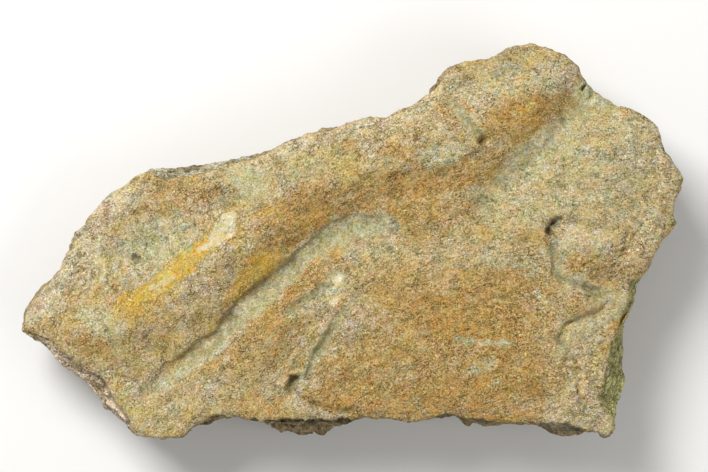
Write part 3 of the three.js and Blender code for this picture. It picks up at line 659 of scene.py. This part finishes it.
         (-75.5, 4.5, 4.5, 0.8), (-71, 9.5, 4.5, 0.85), (-64.5, 13.5, 4, 0.7), (-59, 15, 3, 0.5)],
        [(-74.5, -0.5, 4, 0.6), (-76, -8, 3, 0.5), (-79, -15, 3, 0.4)],
        [(-28.5, 24, 3, 0.5), (-18.5, 27.5, 3, 0.6), (-10, 30.5, 3, 0.6), (-1, 33.5, 3.5, 0.7),
         (9, 36, 4, 0.7), (17.5, 39, 4, 0.7), (23, 42.5, 3, 0.6)],
        [(27, 47, 3, 0.4), (58.5, 52.5, 3, 0.2), (64.5, 48.5, 3, 0.3)],
        [(-52.5, -17.5, 2.2, 0.5), (-48.5, -18, 2.4, 0.6)],
        [(76.5, 35.5, 3, 0.4), (85, 28, 3, 0.5), (90.5, 19.5, 3, 0.5), (91.5, 12.5, 3, 0.5)],
        [(60.5, -0.5, 3, 1), (63.5, 1, 4, 1.1), (68, 1, 4, 1), (71.5, -0.5, 3, 0.8), (62, 3, 3, 0.9)],
        [(64, -36, 3, 0.8), (66, -42, 4, 1.1), (68, -47, 3.5, 1), (72, -53, 3, 0.8)],
        [(80, 8, 4, 0.6), (86, 6, 4, 0.7), (84, -2, 4, 0.6), (76, -4, 3, 0.5)],
        [(-67.5, -51, 4, 0.3), (-59, -54.5, 4, 0.4), (-50, -53.5, 4, 0.3), (-41.5, -49.5, 4, 0.3)],
        [(-18.5, -47, 2, 0.6), (-16.8, -44, 1.2, 0.7), (-15.6, -41.5, 0.8, 0.6)],
        [(-15.5, -46.5, 1.5, 0.8), (-13.5, -48, 1.5, 0.6), (-8.5, -49, 1.5, 0.6), (-2.5, -50, 1.5, 0.5)],
        [(63.5, -33.5, 3, 0.4), (68, -29.5, 3, 0.5), (70.5, -25.5, 2.5, 0.4), (68, -16.5, 4, 0.4),
         (73.5, -16.5, 3, 0.4)],
        [(7.5, -47.5, 3, 0.3), (19, -48, 3, 0.3), (33.5, -47.5, 3, 0.3), (56.5, -46.5, 4, 0.4),
         (63.5, -46.5, 4, 0.5), (70.5, -52.5, 3, 0.4)],
        [(24.5, 33, 3, 0.3), (33.5, 42.5, 4, 0.4), (39, 44, 4, 0.4)],
    ],
    "polished": [
        [(-59, -43, 1.8, 0.7), (-46.5, -34, 2.4, 0.8), (-34, -21.5, 3, 1), (-22.5, -12, 3, 1),
         (-13.5, -3.5, 3.5, 1), (-4, 3, 4, 1), (7, 4.5, 3, 1)],
        [(60.5, 1, 2.5, 1), (64, 1, 3.5, 1), (69, 0, 3.5, 0.9), (73, 1, 3, 0.6)],
        [(79, -17, 2, 0.8), (69.5, -20.5, 2.5, 1), (63, -23, 2.5, 1), (60.8, -27, 2.2, 1),
         (61.5, -31, 2, 0.8)],
        [(58, -5, 1.5, 0.9), (59, -9.5, 2, 1), (65, -12, 2, 1), (72, -15, 2, 0.9)],
        [(-62, -15.5, 2, 0.7), (-53.5, -10.5, 2.4, 0.9), (-45.5, -3, 2.4, 0.9), (-37, 4, 3, 0.6)],
        [(-34, 19, 3, 0.6), (-26.5, 16.5, 5, 0.7)], [(-11, -32, 1.8, 0.9), (-6, -24, 1.8, 0.8)],
        [(29.5, 39.5, 1.8, 0.8), (32, 36, 2, 0.9), (35, 32, 1.8, 0.8)],
        [(44, 19, 4, 0.5), (55, 27.5, 5, 0.6), (65.5, 37.5, 4, 0.6)],
        [(-73.6, -2, 1.2, 0.4), (-73.4, -9, 1.2, 0.4)],
    ],
    # Dirt, and painted shade: dark lines along the steep channel walls and dark spots in the pits.
    "dirt_and_shade": [
        [(36, 50, 4, 0.3), (44, 52, 5, 0.35), (50, 52, 4, 0.3)],
        [(57, 1, 0.5, 0.8), (56.9, -3, 0.6, 0.9), (57.2, -8, 0.6, 0.8), (58.8, -10.6, 0.4, 0.6)],
        [(-65.5, -46.5, 0.4, 0.4), (-63.5, -44.5, 0.5, 0.7), (-58.5, -40, 0.6, 0.8),
         (-55.5, -35.5, 0.6, 0.8), (-52.5, -34.5, 0.6, 0.8), (-46, -30, 0.6, 0.8), (-40, -25.5, 0.7, 0.9),
         (-37.5, -21.5, 0.8, 0.9), (-33, -16.5, 0.8, 0.9), (-29, -13, 0.8, 0.9), (-24.5, -10, 0.7, 0.8),
         (-19, -5.5, 0.6, 0.7), (-15.5, -2, 0.6, 0.7), (-11, 1.5, 0.5, 0.6), (-7, 5.5, 0.5, 0.5),
         (-2.5, 7.5, 0.4, 0.4)],
        [(-40, -21.5, 2, 0.35), (-35, -17, 2.2, 0.4), (-30, -11.5, 2.4, 0.45), (-25.5, -8, 2, 0.4),
         (-20, -3, 2, 0.3)],
        [(11, 6.5, 0.7, 0.7), (12.5, 5.5, 0.8, 0.8), (11.5, 3.5, 0.7, 0.6), (9.5, 4, 0.4, 0.5)],
        [(-14, -37.5, 0.8, 0.8), (-11, -31.5, 1, 0.9), (-9, -28, 1, 0.9), (-6.5, -23.5, 0.7, 0.6)],
        [(-17.5, -39, 1, 1), (-18.5, -41, 1.2, 1), (-19, -43, 1, 0.9)],
        [(-15, -31, 0.5, 0.8), (-16, -33, 0.6, 0.7)],
        [(-7.5, -31.5, 0.3, 0.7), (-5.5, -31, 0.4, 0.9), (-4.5, -30, 0.3, 0.5)],
        [(-14, -45, 0.4, 0.7), (-11.5, -46.5, 0.4, 0.8), (-7.5, -47.5, 0.35, 0.8), (-3.5, -48.5, 0.35, 0.7),
         (2, -49.5, 0.3, 0.6), (9, -50, 0.3, 0.5)],
        [(-17, -50.5, 0.8, 0.8), (-16, -49.5, 0.8, 0.8), (-17.5, -48, 0.5, 0.5)],
        [(57, 6, 1, 1), (56.5, 4, 1, 1), (56, 3, 0.8, 0.9), (58, 5.5, 0.7, 0.8)],
        [(57.5, 2, 0.6, 0.7), (58.5, -0.5, 0.5, 0.5), (59, -11, 0.5, 0.6), (58, -9.5, 0.4, 0.5)],
        [(62.5, -12, 0.35, 0.7), (66.5, -13.5, 0.35, 0.8), (69, -15, 0.4, 0.8), (71.5, -15.5, 0.4, 0.7),
         (74, -14.5, 0.3, 0.5)],
        [(68, 5.5, 0.3, 0.6), (71, 4.5, 0.3, 0.6), (74.5, 4.5, 0.25, 0.5)],
        [(80, -18.5, 0.5, 0.7), (75.5, -20.8, 0.6, 0.8), (71, -24.5, 0.5, 0.6), (67, -27.5, 0.4, 0.5)],
        [(60, -31, 0.4, 0.5), (61, -36, 0.35, 0.5), (62.5, -42, 0.4, 0.6), (64.5, -46, 0.4, 0.6),
         (67, -50, 0.35, 0.6)],
        [(36.5, 29.5, 0.9, 1), (36, 30, 0.6, 0.7)],
        [(31.5, 37.5, 0.35, 0.4), (34, 34, 0.4, 0.6), (35.5, 32, 0.4, 0.6)], [(-63, -5, 0.8, 1)],
        [(-62, -10, 0.45, 0.8)], [(-46, 5, 0.45, 1)], [(-55.5, -1.5, 0.4, 0.7)],
        [(-72.5, -9.5, 0.35, 0.7), (-71.5, -12, 0.4, 0.8), (-69.5, -13.5, 0.4, 0.7), (-67, -15, 0.3, 0.4)],
        [(-33, 5, 0.5, 0.8), (-33.5, 7, 0.4, 0.6)],
        [(-38.5, 16, 0.8, 0.6), (-36.5, 10.5, 1.1, 0.8), (-38, 13, 1.1, 0.7)],
        [(60, 35, 0.9, 0.8), (60.5, 33.5, 0.7, 0.7)], [(52.5, 32.5, 0.9, 0.7), (50, 30.5, 0.7, 0.5)],
        [(68, 43, 1.5, 0.5), (66, 41, 1.2, 0.5), (63.5, 39, 1, 0.4)], [(3, -24, 0.4, 1)],
        [(18, -29.5, 0.4, 0.9)], [(64.5, -37, 0.5, 0.9)], [(-21, 3.5, 0.8, 0.7), (-19.5, 3, 0.7, 0.5)],
        [(-1.5, -8, 0.3, 0.6), (-5.5, -9.5, 0.35, 0.7), (-8.5, -12, 0.4, 0.7), (-12, -14.5, 0.4, 0.6)],
        [(38.5, -36, 0.3, 0.4), (40.5, -37, 0.35, 0.8), (43, -37.5, 0.3, 0.5)],
        [(22.5, -16.5, 0.3, 0.5), (24, -20, 0.3, 0.6), (26.5, -25, 0.3, 0.6)],
        [(42, -8, 0.8, 0.4), (36, -5.5, 0.8, 0.3), (29, -5.5, 0.8, 0.3)],
        [(-27.5, -8, 0.9, 0.6), (-25, -7, 0.8, 0.5), (-30.5, -10.5, 0.8, 0.5)],
        [(-46.5, 22, 1.5, 0.8), (-44.5, 23, 1.2, 0.6)],
        [(86.5, 3.5, 1, 0.4), (88, 8, 1, 0.4), (90.5, 21, 1, 0.35)],
        [(-77.5, -41, 0.6, 0.5), (-73.5, -44.5, 0.7, 0.6), (-69.5, -47.5, 0.6, 0.5),
         (-67.5, -50.5, 0.5, 0.4)],
        [(42, 19.5, 0.5, 0.5), (39.5, 16.5, 0.5, 0.5), (43.5, 22.5, 0.5, 0.5)],
        [(78, 19.5, 0.5, 0.5), (80, 17, 0.5, 0.5)],
        [(-61.5, -50.5, 0.5, 0.5), (-50, -51, 0.6, 0.5), (-64.5, -39.5, 0.6, 0.4)],
    ],
}

# Colours of the broken sides where they show from above.
SIDE_STROKES = {
    "green_side": [
        [(82, -12, 4, 0.9), (80, -22, 4, 0.9), (76, -33, 5, 1), (75.5, -44, 5.5, 1), (76, -50, 3, 0.8)],
    ],
    "pale_side": [
        [(-57, 20, 4, 1), (-52, 21, 4.5, 1), (-46, 23, 4, 0.6), (-38, 25, 4, 0.9), (-33, 26, 3, 0.8)],
    ],
    "grey_side": [
        [(53, -54, 3, 0.7), (60, -55, 4, 1), (67, -56.5, 4, 1), (73, -57.5, 3, 0.6)],
    ],
    "rosy_side": [
        [(-65, -54, 4, 0.8), (-71, -46, 4.5, 1), (-77, -40, 4, 1), (-84, -34, 3, 1), (-90, -28, 2.5, 0.8)],
    ],
    # A dark olive-brown shelf and nodule, with painted shade where they lie under the overhanging rim.
    "shaded_dark_side": [
        [(0, -53, 3.5, 0.8), (-10, -54, 5, 1), (-20, -54, 5, 1), (-30, -52, 3.5, 0.8)],
        [(26, -51, 3, 1), (34, -53, 4.5, 1), (43, -54, 3.5, 1)], [(-49, 22, 1.5, 1), (-46, 23, 1.5, 1)],
    ],
}

BREAK_BEGINS = (0.5, 1.6)
FACE_SHARE = (0.3, 0.8)
# Side colours fade out this far below the face, along a wavy edge.
SIDE_FADE = (7, 15)
SIDE_WAVES = (9, 6)
STAIN_WANDER = [(5, 0.7), (1.8, 0.6)]
THIN_WANDER = [(5, 0.3), (1.6, 0.3)]
THIN_STROKES = ("dirt_and_shade", "white", "polished")
# A stroke fades between these shares of its half-width, and its surroundings are searched this far.
STROKE_EDGE = (0.5, 1.5)
STROKE_SEARCH = 2.5
HOLLOW_PASSES = 8

points, normals = read_shape(slab)
below = read_values(slab, "below")
broken = read_values(slab, "broken") * blend_step(*BREAK_BEGINS, below)
write_values(slab, "broken", broken)
on_face = 1 - blend_step(*FACE_SHARE, broken)
wave_width, wave_reach = SIDE_WAVES
wavy_depth = below + wave_reach * unevenness(points, wave_width, seed=66)
near_rim = 1 - blend_step(*SIDE_FADE, wavy_depth)
spread_places = wander(points, STAIN_WANDER, seed=61)
thin_places = wander(points, THIN_WANDER, seed=61)
for name, strokes in (STROKES | SIDE_STROKES).items():
    amount = np.zeros(len(points))
    spots = thin_places if name in THIN_STROKES else spread_places
    for stroke in strokes:
        ends = np.array(stroke)
        reach = ends[:, 2].max() * STROKE_SEARCH
        near = np.all((spots > ends[:, :2].min(0) - reach) & (spots < ends[:, :2].max(0) + reach), 1)
        distance, _, strength = follow(stroke + stroke[-1:], spots[near])
        laid = strength[:, 1] * (1 - blend_step(*STROKE_EDGE, distance / strength[:, 0]))
        amount[near] = np.maximum(amount[near], laid)
    amount *= on_face if name in STROKES else near_rim
    write_values(slab, name, amount)
along, across = along_fibres(points[:, 0], points[:, 1])
fibre_places = np.stack([along / FIBRE_STRETCH, across, points[:, 2]], 1) * MM
fibre_attribute = slab.data.attributes.new("fibre_places", "FLOAT_VECTOR", "POINT")
fibre_attribute.data.foreach_set("vector", fibre_places.ravel())

# Hollows get dirt and painted shade: how far each place lies under its surroundings.
edges = np.empty(len(slab.data.edges) * 2, int)
slab.data.edges.foreach_get("vertices", edges)
first, second = edges.reshape(-1, 2).T
count = np.bincount(first, minlength=len(points)) + np.bincount(second, minlength=len(points))
smooth = points.copy()
for _ in range(HOLLOW_PASSES):
    for axis in range(3):
        total = np.bincount(first, smooth[second, axis], len(points))
        total += np.bincount(second, smooth[first, axis], len(points))
        smooth[:, axis] = total / count
hollow = ((smooth - points) * normals).sum(1)
write_values(slab, "hollow", hollow)

# ---- The bone slab: material ----
# Fossil bone: tan and brown where iron has stained it, with a thin grey-green film of the old
# rock in the hollows, and dark pores between the fibres.


def shade(red, green, blue):
    """A colour given in display values from 0 to 255, as the linear colour that shaders take."""
    linear = [((value / 255 + 0.055) / 1.055) ** 2.4 for value in (red, green, blue)]
    return (*linear, 1)


TAN = shade(201, 177, 116)
PALE_TAN = shade(208, 190, 158)
BROWN = shade(186, 157, 104)
IRON_ORANGE = shade(192, 148, 76)
IRON_TAN = shade(201, 169, 105)
FILM = shade(208, 201, 170)
FILM_GREEN = shade(191, 187, 144)
WORN = shade(224, 211, 180)
MAUVE = shade(207, 188, 162)
CRUMB_CREAM = shade(230, 208, 148)
YELLOW = shade(216, 174, 64)
CREAM_YELLOW = shade(228, 204, 126)
CREAM = shade(232, 220, 172)
WHITE = shade(236, 230, 202)
OLIVE_TINT = shade(230, 241, 232)
ROSE_TINT = shade(239, 234, 236)
GREY_TINT = shade(242, 246, 255)
OCHRE_TINT = shade(252, 239, 214)
# Dark olive-brown for dirt, and for painted shade in the channel walls, pits and hollows.
SHADE_AND_DIRT_COLOUR = shade(84, 78, 44)
BREAK_TAN = shade(172, 152, 112)
BREAK_BROWN = shade(142, 122, 86)
BREAK_DARK = shade(104, 92, 66)
# Each strip of the broken side has a pale and a dark colour in layers.
SIDE_COLOURS = {
    "green_side": (shade(184, 181, 120), shade(148, 145, 90)),
    "grey_side": (shade(150, 145, 118), shade(108, 101, 78)),
    "pale_side": (shade(206, 200, 170), shade(140, 132, 102)),
    "rosy_side": (shade(236, 216, 186), shade(194, 170, 140)),
    # The dark strip's darker colour is partly painted shade under the rim.
    "shaded_dark_side": (shade(130, 121, 90), shade(68, 63, 44)),
}
GRAIN_SIZE = 0.42 * MM
GRAIN_CONTRAST = 0.98
DARKEST_GRAIN = 0.1
RED_POWER = 0.87
BLUE_POWER = 1.5
PORE_SPACING = 1.4 * MM
PORE_RADIUS = 0.22
PORE_BEND = 0.35 * MM
BUMP_DEPTH = 0.32 * MM


def add_node(tree, kind, sockets=None, **settings):
    made = tree.nodes.new(kind)
    for name, value in settings.items():
        setattr(made, name, value)
    for socket, value in (sockets or {}).items():
        if isinstance(value, bpy.types.NodeSocket):
            tree.links.new(value, made.inputs[socket])
        else:
            made.inputs[socket].default_value = value
    return made


bone = bpy.data.materials.new("fossil_bone")
bone.use_nodes = True
tree = bone.node_tree
surface = tree.nodes["Principled BSDF"]
object_places = add_node(tree, "ShaderNodeTexCoord").outputs["Object"]


def calculate(operation, first, second=0.0, third=0.0):
    sockets = {0: first, 1: second, 2: third}
    return add_node(tree, "ShaderNodeMath", sockets, operation=operation).outputs[0]


def weigh(*parts):
    """Sum of values, each with its weight."""
    total = 0.0
    for value, weight in parts:
        total = calculate("MULTIPLY_ADD", value, weight, total)
    return total


def mix_colours(share, first, second, blend="MIX"):
    sockets = {0: share, 6: first, 7: second}
    settings = {"data_type": "RGBA", "blend_type": blend, "clamp_factor": True}
    return add_node(tree, "ShaderNodeMix", sockets, **settings).outputs[2]


def stretch_range(value, low, high, to_low=0.0, to_high=1.0, smooth=True):
    sockets = {0: value, 1: low, 2: high, 3: to_low, 4: to_high}
    kind = "SMOOTHSTEP" if smooth else "LINEAR"
    return add_node(tree, "ShaderNodeMapRange", sockets, interpolation_type=kind).outputs[0]


def cloud(size, detail=2.0, roughness=0.5, distortion=0.0, places=object_places):
    """Noise whose lumps are size metres wide."""
    sockets = {"Vector": places, "Scale": 1 / size, "Detail": detail, "Roughness": roughness,
               "Distortion": distortion}
    return add_node(tree, "ShaderNodeTexNoise", sockets).outputs["Fac"]


def amount_of(name):
    return add_node(tree, "ShaderNodeAttribute", attribute_name=name).outputs["Fac"]


def darken(colour, factor):
    """Dark grains are browner than the bone, and bright grains are whiter."""
    factor = calculate("MAXIMUM", factor, DARKEST_GRAIN)
    red = calculate("POWER", factor, RED_POWER)
    blue = calculate("POWER", factor, BLUE_POWER)
    grey = add_node(tree, "ShaderNodeCombineColor", {0: red, 1: factor, 2: blue}).outputs[0]
    return mix_colours(1.0, colour, grey, "MULTIPLY")


fibre_vector = add_node(tree, "ShaderNodeAttribute", attribute_name="fibre_places").outputs["Vector"]


def fibrous_cloud(size, detail, roughness=0.5, distortion=0.4):
    return cloud(size, detail, roughness, distortion, fibre_vector)


def thin_lines(winding, thickness):
    """Lines of value 1 that wind along the middle level of a noise."""
    away = calculate("ABSOLUTE", calculate("SUBTRACT", winding, 0.5))
    return stretch_range(away, thickness, 0)


# The noises that the colours, the roughness and the bump share.
mottle = cloud(9 * MM, 4, 0.6, 0.6)
patch = cloud(3.4 * MM, 3, 0.6, 0.3)
blotch = cloud(1.8 * MM, 2, 0.5)
rosy = cloud(4 * MM, 3, 0.6, 0.5)
ochre = cloud(3 * MM, 3, 0.6, 0.8)
grit = cloud(0.7 * MM, 2, 0.6, 1.0)
fine_grit = cloud(0.38 * MM, 1, 0.5, 0.5)
fibre = fibrous_cloud(0.8 * MM, 3, 0.6)
fine_fibre = fibrous_cloud(0.42 * MM, 1, 0.5)
long_fibre = fibrous_cloud(2.2 * MM, 3, 0.6)
crumbs = amount_of("crumbled")
side = amount_of("broken")
film_amount = amount_of("film")
polished = amount_of("polished")

ragged = weigh((patch, 0.6), (long_fibre, 0.4))
ragged = stretch_range(ragged, 0.38, 0.62, smooth=False)


def stain(name, raggedness, softness):
    torn = weigh((ragged, raggedness), (amount_of(name), 1.0))
    middle = 0.5 + raggedness / 2
    return stretch_range(torn, middle - softness, middle + softness, smooth=False)


colour = mix_colours(stretch_range(mottle, 0.34, 0.66), TAN, PALE_TAN)
colour = mix_colours(stretch_range(long_fibre, 0.46, 0.7, 0, 0.35), colour, BROWN)
# What lies on the bone, from the lowest: painted amount, raggedness and softness of its edge,
# the noise between its two colours, the colours, and how much of the bone it covers.
layers = [
    ("iron", 0.55, 0.35, patch, IRON_ORANGE, IRON_TAN, 0.95),
    ("worn", 0.4, 0.3, patch, WORN, MAUVE, 0.85),
    ("film", 0.5, 0.28, blotch, FILM, FILM_GREEN, 0.95),
    ("crumbled", 0.5, 0.4, blotch, CRUMB_CREAM, MAUVE, 0.65),
    ("yellow", 0.3, 0.3, patch, YELLOW, CREAM_YELLOW, 1.0),
    ("white", 0.2, 0.25, blotch, WHITE, CREAM, 1.0),
]
for name, raggedness, softness, variation, first_colour, second_colour, strength in layers:
    stain_colour = mix_colours(stretch_range(variation, 0.4, 0.64), first_colour, second_colour)
    laid = calculate("MULTIPLY", stain(name, raggedness, softness), strength)
    colour = mix_colours(laid, colour, stain_colour)
colour = mix_colours(1.0, colour, mix_colours(stretch_range(rosy, 0.3, 0.7), OLIVE_TINT, ROSE_TINT),
                     "MULTIPLY")
colour = mix_colours(1.0, colour, mix_colours(stretch_range(ochre, 0.32, 0.68), GREY_TINT, OCHRE_TINT),
                     "MULTIPLY")

# The broken sides: thin layers, seven times longer than high, with dark spongy pores.
layered_places = add_node(tree, "ShaderNodeMapping", {"Vector": object_places, "Scale": (1, 1, 7)})
layered = cloud(5 * MM, 4, 0.65, 0.3, layered_places.outputs[0])
side_colour = mix_colours(stretch_range(layered, 0.36, 0.62), BREAK_TAN, BREAK_BROWN)
side_colour = mix_colours(stretch_range(mottle, 0.5, 0.75, 0, 0.6), side_colour, PALE_TAN)
for name, (pale_colour, dark_colour) in SIDE_COLOURS.items():
    strip_colour = mix_colours(stretch_range(layered, 0.43, 0.57), pale_colour, dark_colour)
    side_colour = mix_colours(stain(name, 0.5, 0.35), side_colour, strip_colour)
spongy = cloud(1.5 * MM, 2, 0.5, 0.3)
side_colour = mix_colours(stretch_range(spongy, 0.46, 0.34, 0, 0.6), side_colour, BREAK_DARK)
side = stretch_range(side, 0.35, 0.8)
colour = mix_colours(side, colour, side_colour)

# Grains and wiggly fibres. Film, smooth floors, the white chip and the yellow vein have less.
grains = add_node(tree, "ShaderNodeTexVoronoi", {"Vector": object_places, "Scale": 1 / GRAIN_SIZE})
grain_shade = add_node(tree, "ShaderNodeSeparateColor", {0: grains.outputs["Color"]}).outputs[0]
roughened = weigh((film_amount, -0.3), (polished, -0.55), (crumbs, 0.15),
                  (stretch_range(patch, 0.36, 0.62), 0.6), (stretch_range(mottle, 0.4, 0.65), 0.3),
                  (0.2, 1.0))
roughened = calculate("MAXIMUM", roughened, 0.05)
speckle = weigh((grit, 0.8), (fine_grit, 1.5), (fibre, 0.5), (fine_fibre, 0.5), (grain_shade, 0.35))
speckle = stretch_range(speckle, 1.2, 2.45, -GRAIN_CONTRAST, GRAIN_CONTRAST, smooth=False)
coarse = weigh((roughened, 0.4), (amount_of("white"), -0.3), (amount_of("yellow"), -0.15), (0.7, 1.0))
coarse = calculate("MAXIMUM", coarse, 0.3)
colour = darken(colour, calculate("MULTIPLY_ADD", speckle, coarse, 1.0))
scribble = thin_lines(cloud(1.3 * MM, 1, 0.5, 1.8), 0.07)
crease = thin_lines(fibrous_cloud(2.8 * MM, 2, 0.5, 1.0), 0.035)
scribble = calculate("MULTIPLY", scribble, roughened)
crease = calculate("MULTIPLY", crease, roughened)
colour = darken(colour, weigh((scribble, -0.42), (crease, -0.35), (polished, -0.15), (0.99, 1.0)))
flecks = stretch_range(grit, 0.6, 0.72, 0, 0.2)
colour = mix_colours(flecks, colour, WORN)

# Small vessel pores, bent out of round, dirt, and painted shade along the channel walls, in the pits and in
# the hollows.
pore_places = add_node(tree, "ShaderNodeVectorMath", {0: object_places}, operation="ADD")
shift = add_node(tree, "ShaderNodeTexNoise", {"Vector": object_places, "Scale": 1 / (0.6 * MM)})
offset = add_node(tree, "ShaderNodeVectorMath", {0: shift.outputs["Color"], 3: PORE_BEND},
                  operation="SCALE")
tree.links.new(offset.outputs[0], pore_places.inputs[1])
pore_cells = add_node(tree, "ShaderNodeTexVoronoi",
                      {"Vector": pore_places.outputs[0], "Scale": 1 / PORE_SPACING})
pore_pick = add_node(tree, "ShaderNodeSeparateColor", {0: pore_cells.outputs["Color"]}).outputs[0]
pore_chance = weigh((crumbs, 0.15), (stretch_range(patch, 0.4, 0.6), 0.2), (pore_pick, 1.0))
pore_size = stretch_range(pore_chance, 0.8, 1.4, 0, PORE_RADIUS, smooth=False)
pore = calculate("LESS_THAN", pore_cells.outputs["Distance"], pore_size)
# The dirt strokes are partly real dirt and partly painted shade of the channel walls and pits.
dirt_and_shade = stain("dirt_and_shade", 0.4, 0.45)
# Dirt and painted shade, darker the deeper a place lies in a hollow.
hollow_dirt_and_shade = stretch_range(amount_of("hollow"), 0.06, 0.35, 0, 0.3)
dark = calculate("MAXIMUM", calculate("MULTIPLY", dirt_and_shade, 0.5), calculate("MULTIPLY", pore, 0.6))
dark = calculate("MAXIMUM", dark, hollow_dirt_and_shade)
colour = mix_colours(dark, colour, SHADE_AND_DIRT_COLOUR)
tree.links.new(colour, surface.inputs["Base Color"])
tree.links.new(stretch_range(patch, 0.3, 0.7, 0.7, 0.92), surface.inputs["Roughness"])
surface.inputs["Specular IOR Level"].default_value = 0.3

grainy = weigh((grit, 0.45), (fibre, 0.5), (fine_grit, 0.2))
height = weigh((calculate("MULTIPLY", grainy, coarse), 1.0), (pore, -0.5), (scribble, -0.4),
               (crease, -0.4), (calculate("MULTIPLY", spongy, side), 1.6))
bump = add_node(tree, "ShaderNodeBump", {"Strength": 1.0, "Distance": BUMP_DEPTH, "Height": height})
tree.links.new(bump.outputs[0], surface.inputs["Normal"])

slab.data.materials.clear()
slab.data.materials.append(bone)
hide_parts("skull_section")
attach(slab, "root")

# ---- Floor, lights and camera ----
# A plain pale floor under soft studio light: one key light from the upper left, and a weaker, wider
# one from the lower right. The camera looks straight down on the face.

# The picture's size in pixels, and the row of pixels on which the slab's origin lies.
PICTURE_WIDTH = 708
PICTURE_HEIGHT = 472
ORIGIN_ROW = 242.8
PIXEL = 0.2877 * MM
CAMERA_HEIGHT = 0.8
FACE_PLANE = 0.034
FLOOR_WIDTH = 3
FLOOR_COLOUR = (0.8, 0.79, 0.77, 1)
SKY_STRENGTH = 0.3

bpy.ops.object.select_all(action="DESELECT")
bpy.ops.mesh.primitive_plane_add(size=FLOOR_WIDTH, location=(0, 0, 0))
floor = bpy.context.active_object
floor.name = "floor"
plain = bpy.data.materials.new("pale_floor")
plain.use_nodes = True
plain.node_tree.nodes["Principled BSDF"].inputs["Base Color"].default_value = FLOOR_COLOUR
floor.data.materials.append(plain)

world = bpy.data.worlds.new("studio")
bpy.context.scene.world = world
world.use_nodes = True
world.node_tree.nodes["Background"].inputs["Color"].default_value = (1, 1, 1, 1)
world.node_tree.nodes["Background"].inputs["Strength"].default_value = SKY_STRENGTH


def add_area_light(name, place, size, power):
    light = bpy.data.lights.new(name, "AREA")
    light.shape = "SQUARE"
    light.size = size
    light.energy = power
    lamp = bpy.data.objects.new(name, light)
    lamp.location = place
    lamp.rotation_euler = (-Vector(place)).to_track_quat("-Z", "Y").to_euler()
    bpy.context.scene.collection.objects.link(lamp)


add_area_light("key_light", (-0.35, 0.45, 0.7), size=0.4, power=9)
add_area_light("fill_light", (0.6, -0.3, 0.6), size=0.6, power=2.4)

view_width = PICTURE_WIDTH * PIXEL
camera_data = bpy.data.cameras.new("camera")
camera_data.lens = camera_data.sensor_width * (CAMERA_HEIGHT - FACE_PLANE) / view_width
camera = bpy.data.objects.new("camera", camera_data)
camera.location = (0, (ORIGIN_ROW - PICTURE_HEIGHT / 2) * PIXEL, CAMERA_HEIGHT)
bpy.context.scene.collection.objects.link(camera)
bpy.context.scene.camera = camera
bpy.context.scene.view_settings.view_transform = "Standard"
